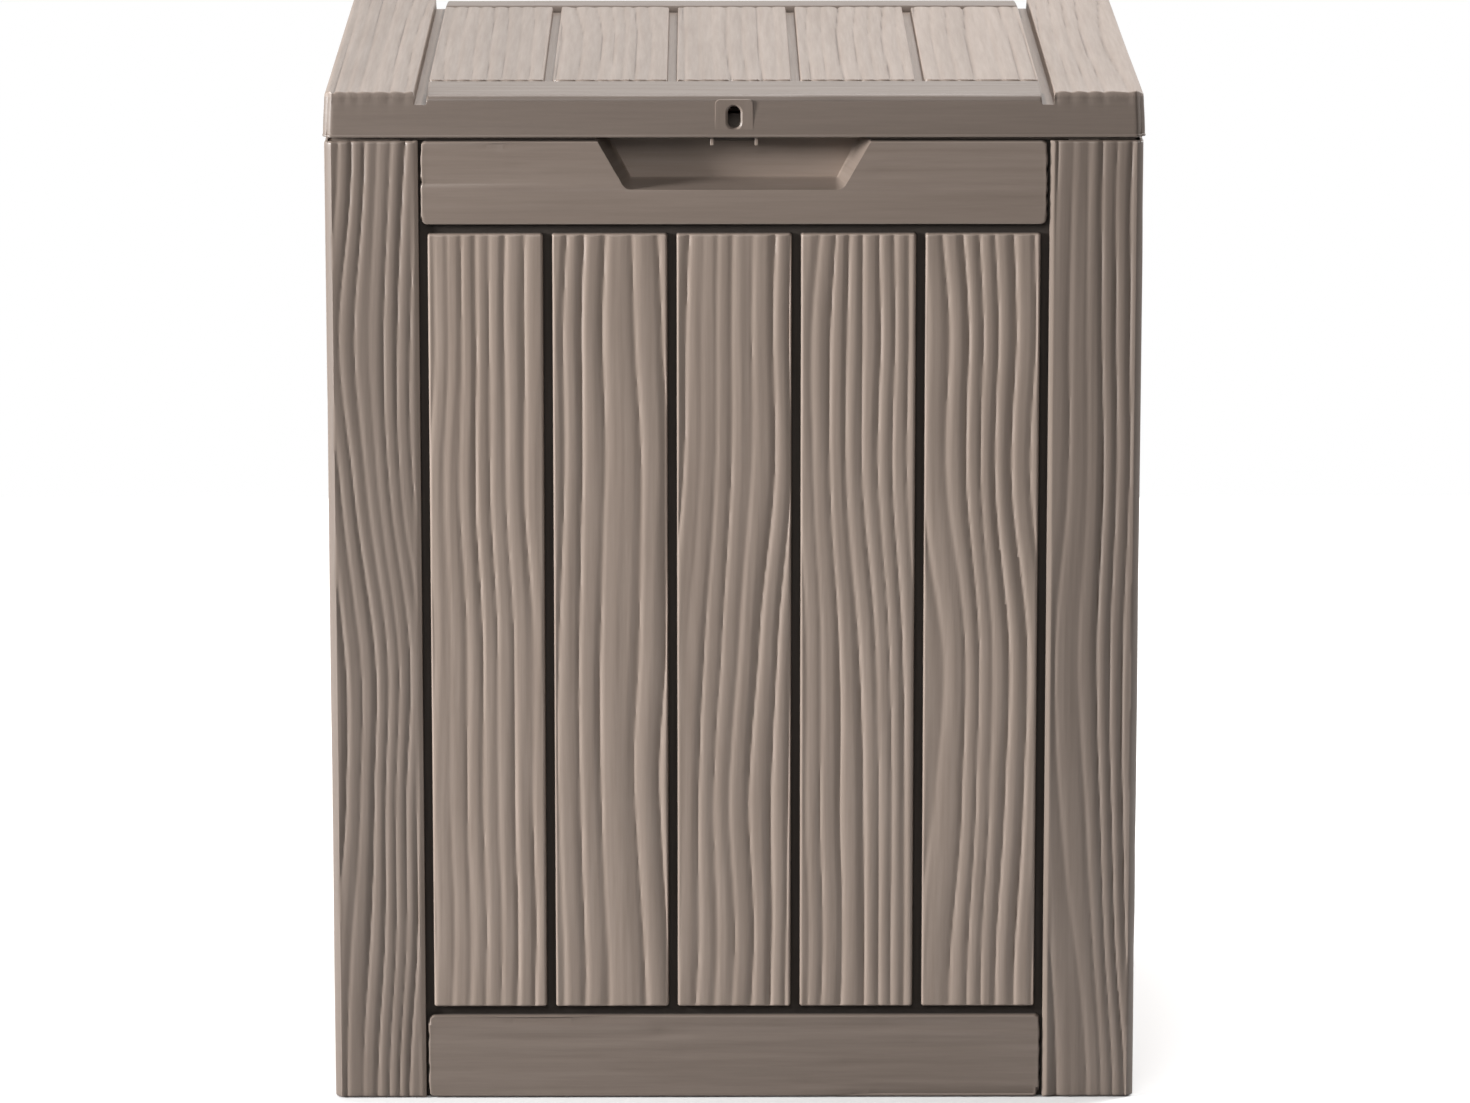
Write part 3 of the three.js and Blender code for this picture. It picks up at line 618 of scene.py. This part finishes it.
def corner_post(name, turn, origin, seed):
    """One post: two grained legs with a flattened corner, and its channels for the walls."""
    points, inward = post_leg()
    arc = np.radians([15, 30, 45, 60, 75])
    # The corner is flatter than a quarter circle, so it catches the light as one narrow strip.
    share = np.linspace(0, 1, 7)[1:-1]
    across = np.stack([share, 1 - share], 1)
    bend = CORNER_RADIUS * (0.25 * np.stack([1 - np.cos(arc), 1 - np.sin(arc)], 1) + 0.75 * across)
    bend_in = np.stack([np.cos(arc), np.sin(arc)], 1)
    first = points[::-1][:, ::-1]
    first_in = inward[::-1][:, ::-1]
    outline = np.concatenate([first, bend, points])
    normal = np.concatenate([first_in, bend_in, inward])
    n_leg = len(points)
    run = np.concatenate([-points[::-1, 0], np.zeros(len(arc)), points[:, 0]])
    leg = np.concatenate([np.full(n_leg, 1), np.zeros(len(arc)), np.full(n_leg, 2)])
    ends = [0.25, 0.7, 1.3, 2.0]
    z = axis(0, WALL_TOP, ends + [WALL_TOP - k for k in ends], 3.6)
    s, t = np.meshgrid(run, z, indexing="ij")
    legs = np.broadcast_to(leg[:, None], s.shape)
    side = np.abs(s)
    fade = np.clip((side - CORNER_RADIUS + 1) / 4, 0, 1) * np.clip((POST_FACE - 1 - side) / 2, 0, 1)
    fade = fade * (legs > 0)
    first_cut = grain(s, t, seed, 9.5, POST_GRAIN, 0.4)
    cut = np.where(s < 0, first_cut, grain(s, t, seed + 1, 9.0, POST_GRAIN, 0.4)) * fade
    end = np.minimum(t, WALL_TOP - t)
    roll = POST_ROLL - np.sqrt(POST_ROLL**2 - np.clip(POST_ROLL - end, 0, POST_ROLL) ** 2)
    push = cut + np.where(side < POST_FACE - 0.2, roll, roll * 0.3)
    x = outline[:, 0, None] + normal[:, 0, None] * push
    y = outline[:, 1, None] + normal[:, 1, None] * push
    # Painted light on the strip along the post's inner edge, painted shade on the rest of the legs and on
    # the corner strip, and painted shade on the chamfer into the wall's groove.
    leg_tone = np.where(side > POST_FACE - 1.2, POST_EDGE_PAINTED_LIGHT, POST_PAINTED_SHADE)
    notes = {"valley": cut / POST_GRAIN, "tone": np.where(legs > 0, leg_tone, CORNER_PAINTED_SHADE),
             "groove": np.clip((side - (POST_FOOT - 1)) / 4, 0, 0.4)}
    shell = Shell()
    outer = shell.add(np.stack([x, y, t], -1), notes, s + PLACE_STEP * seed, t)
    shell.quads(outer)
    leg_in = [(POST_FOOT - WALL, CHANNEL_FRONT), (POST_FOOT - WALL - 1, WALL), (WEB, WALL),
              (WEB, CHANNEL_BACK), (POST_FOOT, CHANNEL_BACK), (POST_FOOT, FLANGE_BACK),
              (WEB - WALL, FLANGE_BACK), (WEB - WALL, WALL)]
    inner = leg_in + [(WALL, WALL)] + [(v, u) for u, v in reversed(leg_in)]
    levels = np.array([0, WALL_TOP])
    xy = np.array(inner)
    lining = shell.add(np.stack([np.repeat(xy[:, :1], 2, 1), np.repeat(xy[:, 1:], 2, 1),
                                 np.repeat(levels[None], len(inner), 0)], -1))
    shell.quads(lining)
    shell.face(outer[::-1, 0], lining[::-1, 0])
    shell.face(outer[::-1, -1], lining[::-1, -1])
    shell.face(outer[-1, :], lining[0, ::-1])
    shell.face(outer[0, :], lining[-1, ::-1])
    return shell.piece(name + "_boards", "box", RESIN, turn, origin, [name])


def post_rim(name, turn, origin):
    """The post's cap and its upstand inside the lid."""
    shell = Shell()
    rings = []
    back = RELIEF + WALL
    levels = ((WALL_TOP - WALL, 2.0, 0), (WALL_TOP - 0.3, 2.0, 0), (WALL_TOP - 0.3, RELIEF, 0),
              (RIM_TOP - 0.6, RELIEF, 0), (RIM_TOP, RELIEF + 0.5, 0.5))
    for z, front, inset in levels:
        f, b, e = front, back - inset, WEB - inset
        outline = [(f, f, z), (e, f, z), (e, b, z), (b, b, z), (b, e, z), (f, e, z)]
        rings.append(shell.add(np.array(outline)))
    loft(shell, rings)
    shell.face(rings[0])
    shell.face(rings[-1])
    return shell.piece(name + "_rim", "box", RESIN_PLAIN, turn, origin)


POSTS = (("front_left_post", -HALF_W, -HALF_D), ("front_right_post", HALF_W, -HALF_D),
         ("back_right_post", HALF_W, HALF_D), ("back_left_post", -HALF_W, HALF_D))
for turn, (name, x, y) in enumerate(POSTS):
    corner_post(name, turn, (x, y, 0), 90 + 4 * turn)
for turn, (name, x, y) in enumerate(POSTS):
    post_rim(name, turn, (x, y, 0))


# ---- Lid ----
TOP_X = HALF_W + 1 - LID_DRAFT
TOP_Y = HALF_D + 1 - LID_DRAFT
RAIL_INNER = HALF_D + 1 - LID_RAIL
PLANK_END = RAIL_INNER - BOARD_GAP
SIDE_BOARD = HALF_W - POST_FACE
PLANK_PITCH = (2 * FIELD_HALF + BOARD_GAP) / FRONT_PLANKS
GROOVE_ROW = HEIGHT - SIDE_GROOVE_DEPTH - 0.6
WINDOW_HALF = 5.5
WINDOW_LOW = SLOT_Z - 7.9
# Past the lid on every side, for boards that run over its edges.
BEYOND = 400.0
LEFT_BOARD_PAINTED_SHADE = -0.6


def rail_slope(x, y):
    """The lid's front and back rails fall slightly towards its edges."""
    return 3.0 * np.clip((np.abs(y) - RAIL_INNER) / LID_RAIL, 0, 1) ** 1.3


def lid_boards(seed):
    """The lid's two side boards, two rails and its planks."""
    # Painted shade: the rails are darkened, and the left side board and the planks are darker towards the
    # left, growing lighter to the right.
    side = {"grain": 2.1, "period": 10.0, "corner": 1.2, "tone": -0.15, "stretch": 0.4, "even": 0.55}
    rail = {"grain": 0.45, "period": 11.0, "corner": 1.2, "drop": rail_slope, "tone": -1.5}
    boards = [
        board(-BEYOND, -SIDE_BOARD, -BEYOND, BEYOND, "z", seed, **{**side, "tone": LEFT_BOARD_PAINTED_SHADE}),
        board(SIDE_BOARD, BEYOND, -BEYOND, BEYOND, "z", seed + 1, **side),
        board(-FIELD_HALF, FIELD_HALF, -BEYOND, -RAIL_INNER, "x", seed + 2, **rail),
        board(-FIELD_HALF, FIELD_HALF, RAIL_INNER, BEYOND, "x", seed + 3, **rail),
    ]
    plank = {"wave": 1.1, "grain": 1.75, "stretch": 0.4, "edge": 1.0, "even": 0.5}
    for i in range(FRONT_PLANKS):
        x0 = -FIELD_HALF + i * PLANK_PITCH
        x1 = x0 + PLANK_PITCH - BOARD_GAP
        own = {**plank, "period": 9.5 + i % 3, "tone": -0.65 + 0.13 * i}
        boards.append(board(x0, x1, -PLANK_END, PLANK_END, "z", seed + 4 + i, **own))
    return boards


def lid_grooves():
    """The lid's grooves seen from above, as (x0, x1, y0, y1, depth)."""
    found = []
    for side in (-1, 1):
        x0, x1 = sorted((side * FIELD_HALF, side * SIDE_BOARD))
        y0, y1 = sorted((side * RAIL_INNER, side * PLANK_END))
        found.append((x0, x1, -BEYOND, BEYOND, SIDE_GROOVE_DEPTH))
        found.append((-FIELD_HALF, FIELD_HALF, y0, y1, RELIEF))
    for i in range(1, FRONT_PLANKS):
        x1 = -FIELD_HALF + i * PLANK_PITCH
        found.append((x1 - BOARD_GAP, x1, -RAIL_INNER, RAIL_INNER, RELIEF))
    return found


def round_corner(x, y):
    """Pulls the corners of the lid's square grid in, to an outline that crosses each one nearly flat."""
    p = np.clip((np.abs(x) - (TOP_X - LID_CORNER)) / LID_CORNER, 0, 1)
    q = np.clip((np.abs(y) - (TOP_Y - LID_CORNER)) / LID_CORNER, 0, 1)
    dx, dy = -p * (0.14 * q * q + 0.36 * q), -q * (0.14 * p * p + 0.36 * p)
    return x + np.sign(x) * dx * LID_CORNER, y + np.sign(y) * dy * LID_CORNER


def roll_off(d, radius):
    """How far a rounded edge has fallen at d in from it."""
    u = np.clip(radius - d, 0, radius)
    return radius - np.sqrt(np.maximum(radius * radius - u * u, 0))


def perimeter(grid):
    """A grid's outer points in order: front, right, back and left."""
    return np.concatenate([grid[:, 0], grid[-1, 1:], grid[-2::-1, -1], grid[0, -2:0:-1]])


def clear_of_corner(x):
    """0 on the lid's corner strips and 1 a little way in from them."""
    return np.clip((TOP_X - LID_CORNER - np.abs(x)) / 3, 0, 1)


def lid_cover(shell):
    """The lid's boards from above: point numbers, the flat and bent grids, and the edge's own values."""
    boards = lid_boards(110)
    marks_x, marks_y = [-WINDOW_HALF, WINDOW_HALF], []
    for b in boards:
        marks_x += edge_marks(b["x0"], b["x1"], b["edge"])
        marks_y += edge_marks(b["z0"], b["z1"], b["edge"])
    for k in (0.12, 0.4, 0.9, 1.6, 2.5, 3.5, 4.6):
        marks_x += [k - TOP_X, TOP_X - k]
        marks_y += [k - TOP_Y, TOP_Y - k]
    rail_lines = np.arange(RAIL_INNER + 3, TOP_Y - 4, 2.2)
    marks_y += [*rail_lines, *-rail_lines]
    lines = axis(-TOP_X, TOP_X, marks_x, 1.7), axis(-TOP_Y, TOP_Y, marks_y, 3.6)
    x, y = np.meshgrid(*lines, indexing="ij")
    floor = np.where(np.abs(x) > FIELD_HALF - EDGE_DRAFT - 0.1, SIDE_GROOVE_DEPTH, RELIEF)
    depth, notes, across, along = board_field(x, y, boards, floor)
    front_roll = np.where(np.abs(x) < FIELD_HALF, 3.8, 1.0)
    side_roll = roll_off(TOP_X - np.abs(x), LID_SIDE_ROLL)
    roll = np.hypot(side_roll, roll_off(TOP_Y - np.abs(y), front_roll))
    top = np.maximum(HEIGHT - depth - roll, HEIGHT - SIDE_GROOVE_DEPTH)
    # Only a trace of painted shade is left in the lid's grooves.
    notes["groove"] *= 0.1
    bent = round_corner(x, y)
    cover = shell.add(np.stack([*bent, top], -1), notes, across, along)
    shell.quads(cover)
    ends = perimeter(notes["valley"]) * (np.abs(perimeter(x)) > SIDE_BOARD)
    ends = ends * (np.abs(perimeter(y)) == TOP_Y)
    return cover, (x, y), bent, perimeter(top), ends * clear_of_corner(perimeter(x))


def lid_shell():
    """The whole lid shell: boards, skirt, the lock's window and the ribbed underside."""
    shell = Shell()
    cover, flat, bent, edge_z, scallop = lid_cover(shell)
    flat_x, flat_y = (perimeter(v) for v in flat)
    bent_x, bent_y = (perimeter(v) for v in bent)
    run = np.where(np.abs(flat_y) == TOP_Y, flat_x, flat_y)
    in_corner = np.abs(flat_x) > TOP_X - LID_CORNER + 0.1
    in_corner &= np.abs(flat_y) > TOP_Y - LID_CORNER + 0.1
    # The skirt and its corner strips carry their painted shade.
    plain = {"valley": 0.0, "tone": np.where(in_corner, CORNER_PAINTED_SHADE, SKIRT_PAINTED_SHADE), "groove": 0.0}

    def ring(base_x, base_y, z, out, fade=0.0):
        """The lid's outline at a height, moved out from its boards' edge and cut back by their grain."""
        level = np.minimum(float(z), edge_z - 0.02) if z > GROOVE_ROW else np.full(len(run), float(z))
        back = out - fade * scallop
        place = np.stack([base_x * (1 + out / TOP_X), base_y * (1 + back / TOP_Y), level], -1)
        return z, shell.add(place, plain, level, run)

    low = LID_BOTTOM
    outside = ((HEIGHT - 4.4, 0.06, 1.2), (HEIGHT - 6.2, 0.15, 0.9), (HEIGHT - 8.0, 0.25, 0.5),
               (GROOVE_ROW, 0.3, 0.15), (HEIGHT - 14, 0.6), (HEIGHT - 20, 0.9), (WINDOW_LOW, 1.1),
               (low + 1.9, 1.15),
               (low + 1.5, 1.45), (low + 1.2, 1.5), (low + 0.4, 1.5), (low + 0.1, 1.3), (low, 0.9))
    inside = ((low, LID_DRAFT - WALL), (WINDOW_LOW, 1.1 - WALL), (GROOVE_ROW, 0.3 - WALL))
    rings = [(HEIGHT, perimeter(cover))]
    rings += [ring(bent_x, bent_y, *row) for row in outside]
    rings += [ring(flat_x, flat_y, z, out) for z, out in inside]
    front = (flat_y == -TOP_Y) & (np.abs(flat_x) <= WINDOW_HALF + 0.01)
    window = (front & np.roll(front, -1))[:, None]
    for (z0, a), (z1, b) in zip(rings, rings[1:]):
        in_window = min(z0, z1) >= WINDOW_LOW and max(z0, z1) <= GROOVE_ROW
        both = np.stack([np.append(a, a[0]), np.append(b, b[0])], 1)
        shell.quads(both, ~window if in_window else None)
    # The window's own sides join the skirt's outer and inner faces.
    at = np.flatnonzero(front)
    outer = [points for z, points in rings[:-3] if WINDOW_LOW <= z <= GROOVE_ROW]
    lower, upper = rings[-2][1], rings[-1][1]
    shell.quads(np.stack([outer[0][at], upper[at]], 1))
    shell.quads(np.stack([outer[-1][at], lower[at]], 1))
    for end in (at[0], at[-1]):
        shell.face([points[end] for points in outer], [lower[end], upper[end]])

    marks_x, marks_y = [], [side * (RAIL_INNER + k) for k in (10, 20, 30, 36) for side in (-1, 1)]
    for x0, x1, y0, y1, _ in lid_grooves():
        for k in (0, 0.3):
            marks_x += [x0 - WALL + k, x1 + WALL - k]
            marks_y += [y0 - WALL + k, y1 + WALL - k]
    half_x, half_y = TOP_X - WALL, TOP_Y - WALL
    lines = axis(-half_x, half_x, marks_x, 40), axis(-half_y, half_y, marks_y, 40)
    x, y = np.meshgrid(*lines, indexing="ij")
    drop = np.zeros(x.shape)
    for x0, x1, y0, y1, deep in lid_grooves():
        over = deep * span_mask(x, x0 - WALL, x1 + WALL) * span_mask(y, y0 - WALL, y1 + WALL)
        drop = np.maximum(drop, over)
    drop = np.maximum(drop, rail_slope(x, y))
    ceiling = shell.add(np.stack([x, y, HEIGHT - WALL - drop], -1))
    shell.quads(ceiling)
    nx, ny = cover.shape
    around = np.append(upper, upper[0])
    shell.face(around[:nx], ceiling[::-1, 0])
    shell.face(around[nx - 1:nx + ny - 1], ceiling[-1, ::-1])
    shell.face(around[nx + ny - 2:2 * nx + ny - 2], ceiling[:, -1])
    shell.face(around[2 * nx + ny - 3:], ceiling[0, :])
    return shell.piece("lid_boards", "lid", RESIN, replaces=["lid_shell"])


lid_shell()


# ---- Lock pad, lock bracket and hinges ----
# Notes for painted light on the ribs' lower ends, and for painted shade on the rest of the bracket in the
# recess.
BRIGHT = {"valley": 0.0, "tone": 1.0, "groove": 0.0}
SHADED = {"valley": 0.0, "tone": -1.5, "groove": 0.4}
SLOT_POINTS = 96
BRACKET_HALF = 15.7
BRACKET_TOP = 10.3
BRACKET_RIB = 2.2
KNUCKLE_HALF = 15
EAR_NEAR, EAR_FAR = 15.6, 26.6
EAR_RADIUS, KNUCKLE_RADIUS, BORE_RADIUS = 6.2, 6.5, 3.3
ARM_HALF = 4.5
WEB_REACH, WEB_TOP, WEB_LOW = 10.3, 2.5, -6.5


def stadium(angle, half_w, half_h):
    """Distance from the middle of an upright slot with round ends to its edge."""
    c, s = np.abs(np.cos(angle)), np.abs(np.sin(angle))
    rise = half_h - half_w
    straight = half_w / np.maximum(c, 1e-9)
    end = rise * s + np.sqrt(np.maximum(half_w**2 - (rise * c) ** 2, 0))
    return np.where(straight * s <= rise, straight, end)


def pad_outline(angle, inset):
    """The pad's edge: straight sides that close slightly upwards, with rounded upper corners."""
    low, high, radius = LID_BOTTOM + 0.6 - SLOT_Z, HEIGHT - 5.4 - SLOT_Z, 3.0
    c, s = np.cos(angle), np.sin(angle)
    reach = np.full(len(angle), 40.0)
    for _ in range(60):
        x, z = np.abs(reach * c), reach * s
        half = PAD_HALF + 0.6 - 0.6 * (z - low) / (high - low)
        qx, qz = x - (half - radius), np.where(z > 0, z - (high - radius), low + radius - z)
        corner = np.hypot(np.maximum(qx, 0), np.maximum(qz, 0)) + np.minimum(np.maximum(qx, qz), 0)
        square = np.maximum(x - half, np.abs(z - (low + high) / 2) - (high - low) / 2)
        reach = reach - 0.7 * np.where(z > 0, corner - radius, square)
    return reach - inset


def slot_ring(angle, reach, y):
    """Points round the middle of the slot in one upright plane, at their own distances from it."""
    return np.stack([reach * np.cos(angle), np.full(len(angle), y), SLOT_Z + reach * np.sin(angle)], -1)


def lock_pad():
    """The raised pad on the skirt, with its bevelled slot."""
    angle = np.arange(SLOT_POINTS) * math.tau / SLOT_POINTS
    face = -HALF_D - 0.6
    levels = [
        (pad_outline(angle, 0.0), face + 3.4), (pad_outline(angle, 0.0), face + 0.3),
        (pad_outline(angle, 0.1), face + 0.08), (pad_outline(angle, 0.3), face),
        (pad_outline(angle, 0.7), face), (stadium(angle, 6.1, 9.2), face),
        (stadium(angle, 5.5, 8.6), face), (stadium(angle, 5.3, 8.4), face + 0.1),
        (stadium(angle, 4.4, 7.5), face + 1.3), (stadium(angle, 4.2, 7.3), face + 1.5),
        (stadium(angle, 4.2, 7.3), face + 3.4),
    ]
    # The pad carries the skirt's painted shade, a little lighter.
    notes = {"valley": 0.0, "tone": SKIRT_PAINTED_SHADE + 0.3, "groove": 0.0}
    shell = Shell()
    rings = []
    for reach, y in levels:
        rings.append(shell.add(slot_ring(angle, reach, y), notes))
    loft(shell, rings + rings[:1])
    return shell.piece("lock_pad", "lid", RESIN)


def bar(shell, low, high, notes, ease=0.35):
    """A straight bar between two corners, with eased edges."""
    low, high = np.array(low, float), np.array(high, float)
    rings = []
    for y, inset in ((low[1], ease), (low[1] + ease, 0), (high[1] - ease, 0), (high[1], ease)):
        x0, x1, z0, z1 = low[0] + inset, high[0] - inset, low[2] + inset, high[2] - inset
        outline = [(x0 + ease, z0), (x1 - ease, z0), (x1, z0 + ease), (x1, z1 - ease),
                   (x1 - ease, z1), (x0 + ease, z1), (x0, z1 - ease), (x0, z0 + ease)]
        rings.append(shell.add(np.array([(x, y, z) for x, z in outline]), notes))
    loft(shell, rings)
    shell.face(rings[0])
    shell.face(rings[-1])


def lock_bracket():
    """The slotted tongue behind the lid's skirt, and the two ribs that carry it out of the recess."""
    half, low, ribs_low = BRACKET_HALF, LID_BOTTOM + 0.5, WALL_TOP - 3.5
    angle = np.arange(SLOT_POINTS) * math.tau / SLOT_POINTS
    shell = Shell()
    up = np.where(np.sin(angle) > 0, BRACKET_TOP, SLOT_Z - low) / np.maximum(np.abs(np.sin(angle)), 1e-9)
    box_reach = np.minimum(half / np.maximum(np.abs(np.cos(angle)), 1e-9), up)
    rings = []
    levels = ((box_reach, 7.0), (box_reach, 4.9), (box_reach - 0.4, 4.5), (stadium(angle, 4.5, 7.6), 4.5),
              (stadium(angle, 4.2, 7.3), 4.8), (stadium(angle, 4.2, 7.3), 7.0))
    for reach, y in levels:
        rings.append(shell.add(slot_ring(angle, reach, y), SHADED))
    loft(shell, rings + rings[:1])
    bar(shell, (-half, 22.2, ribs_low), (half, 24.7, RIM_TOP), SHADED)
    for x in (-half, half - BRACKET_RIB):
        bar(shell, (x, 4.6, ribs_low), (x + BRACKET_RIB, 23.0, RIM_TOP - 0.5), SHADED)
        bar(shell, (x, 3.4, ribs_low), (x + BRACKET_RIB, 6.0, WALL_TOP + 2.2), BRIGHT)
    return shell.piece("lock_bracket_ribs", "box", RESIN, 0, (0, -HALF_D, 0), ["lock_bracket"])


def ray_box(angle, y0, y1, z0, z1):
    """Distance from the hinge axis to the edge of a rectangle that holds it."""
    c, s = np.cos(angle), np.sin(angle)
    across = np.where(c > 0, y1, y0) / np.where(np.abs(c) < 1e-9, 1e-9, c)
    up = np.where(s > 0, z1, z0) / np.where(np.abs(s) < 1e-9, 1e-9, s)
    return np.minimum(np.where(np.abs(c) < 1e-9, 1e9, across), np.where(np.abs(s) < 1e-9, 1e9, up))


def hinge_ring(x, reach, angle):
    """Points round the hinge axis at x, at their own distances from it."""
    y = HALF_D - HINGE_DEPTH + reach * np.cos(angle)
    return np.stack([np.full(len(reach), x), y, HINGE_Z + reach * np.sin(angle)], -1)


def hinge_piece(name, body, x0, x1, angle, reach):
    """A bored hinge part, extruded along its axis, with slightly eased ends."""
    shell = Shell()
    levels = [(x0, 0.4), (x0 + 0.4, 0.0), (x1 - 0.4, 0.0), (x1, 0.4)]
    rings = []
    for x, inset in levels:
        r = reach - inset
        rings.append(hinge_ring(x, r, angle))
    for x in (x1, x0):
        rings.append(hinge_ring(x, np.full(len(angle), BORE_RADIUS), angle))
    numbers = [shell.add(r) for r in rings]
    loft(shell, numbers + numbers[:1])
    return shell.piece(name, body, RESIN_PLAIN)


def hinges():
    """Both hinges: a knuckle on the box between two ears on the lid."""
    even = np.arange(72) * math.tau / 72
    arm_top = HEIGHT - 5.3 - HINGE_Z
    arm = np.sort(np.append(even, [math.atan2(arm_top, ARM_HALF), math.atan2(arm_top, -ARM_HALF)]))
    arm_reach = ray_box(arm, -ARM_HALF, ARM_HALF, -1e-6, arm_top)
    ear = np.maximum(EAR_RADIUS, np.where(np.sin(arm) > 0, arm_reach, 0))
    corners = [math.atan2(WEB_TOP, -WEB_REACH), math.tau + math.atan2(WEB_LOW, -WEB_REACH)]
    web = np.sort(np.append(even, corners))
    web_reach = ray_box(web, -WEB_REACH, 1e-6, WEB_LOW, WEB_TOP)
    knuckle = np.maximum(KNUCKLE_RADIUS, np.where(np.cos(web) < 0, web_reach, 0))
    for side, x in (("left", -HINGE_X), ("right", HINGE_X)):
        hinge_piece(side + "_knuckle", "box", x - KNUCKLE_HALF, x + KNUCKLE_HALF, web, knuckle)
        hinge_piece(side + "_ear_a", "lid", x - EAR_FAR, x - EAR_NEAR, arm, ear)
        hinge_piece(side + "_ear_b", "lid", x + EAR_NEAR, x + EAR_FAR, arm, ear)


lock_pad()
lock_bracket()
hinges()


# ---- Other CAD nodes keep their shapes ----
def paint(node, material):
    """Gives a CAD node its material."""
    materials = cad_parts[node].data.materials
    materials.clear()
    materials.append(material)


for node in ("floor_tray", "lid_liner"):
    paint(node, RESIN_PLAIN)
for node in ("left_hinge_pin", "right_hinge_pin"):
    paint(node, PIN_RESIN)


# ---- Floor, light and camera ----
def plain(name, colour, roughness):
    """A matt material with a faint cloud in its colour."""
    tree = Tree(bpy.data.materials.new(name))
    place = tree.node("TexCoord").outputs["Object"]
    cloud = tree.node("TexNoise", Vector=place, Scale=1.5, Detail=2.0).outputs["Fac"]
    darker = [c * 0.985 for c in colour[:3]] + [1]
    tree.put(tree.shader.inputs["Base Color"], tree.mix(cloud, colour, darker))
    tree.shader.inputs["Roughness"].default_value = roughness
    return tree.owner


bpy.ops.mesh.primitive_plane_add(size=3.4, location=(0, 0, -0.0005))
ground = bpy.context.object
ground.name = "floor"
ground.data.materials.append(plain("pale_floor", (0.92, 0.92, 0.92, 1), 0.8))
ground.visible_diffuse = False


def area_light(name, place, aim, size, power):
    light = bpy.data.lights.new(name, "AREA")
    light.energy = power
    light.size = size
    made = bpy.data.objects.new(name, light)
    bpy.context.scene.collection.objects.link(made)
    made.location = place
    made.rotation_euler = (Vector(aim) - Vector(place)).to_track_quat("-Z", "Y").to_euler()
    return made


def studio():
    """A world that is white to the camera and lights the box mostly from above and behind."""
    world = bpy.data.worlds.new("studio")
    bpy.context.scene.world = world
    sky = Tree(world)
    direction = sky.node("SeparateXYZ", Vector=sky.node("TexCoord").outputs["Generated"])
    behind = sky.span(direction.outputs["Y"], -0.15, 0.45, 0.16, 0.95)
    sideways = sky.span(direction.outputs["X"], -0.6, 0.6, 0.8, 1.3)
    above = sky.span(direction.outputs["Z"], -0.25, 0.25, 0.35, 1.0)
    glow = sky.math("MULTIPLY", sky.math("MULTIPLY", behind, sideways), above)
    seen = sky.node("Mix", Factor=sky.node("LightPath").outputs["Is Camera Ray"], B=1.0)
    sky.put(seen.inputs["A"], glow)
    background = sky.tree.nodes["Background"]
    background.inputs["Color"].default_value = (1, 1, 1, 1)
    sky.put(background.inputs["Strength"], seen.outputs["Result"])


studio()
area_light("key", (-3.15, -1.0, 1.2), (0, -0.1, 0.35), 0.69, 192)
area_light("front", (-0.8, -3.3, 2.5), (0, 0, 0.35), 1.5, 40)
area_light("back", (3.2, 1.3, 1.8), (0, 0.1, 0.35), 0.9, 80)
area_light("top", (0.5, 1.1, 3.2), (0, 0.5, 0), 2.4, 62)
bpy.context.scene.view_settings.view_transform = "Standard"

LENS = 181.0
TILT_DOWN, PAN = 12.64, -0.27
camera = bpy.data.cameras.new("camera")
camera.sensor_width = 36
camera.lens = LENS
seen_from = bpy.data.objects.new("camera", camera)
bpy.context.scene.collection.objects.link(seen_from)
seen_from.location = (-0.022, -5.0, 1.4506)
seen_from.rotation_euler = (math.radians(90 - TILT_DOWN), 0, math.radians(PAN))
bpy.context.scene.camera = seen_from
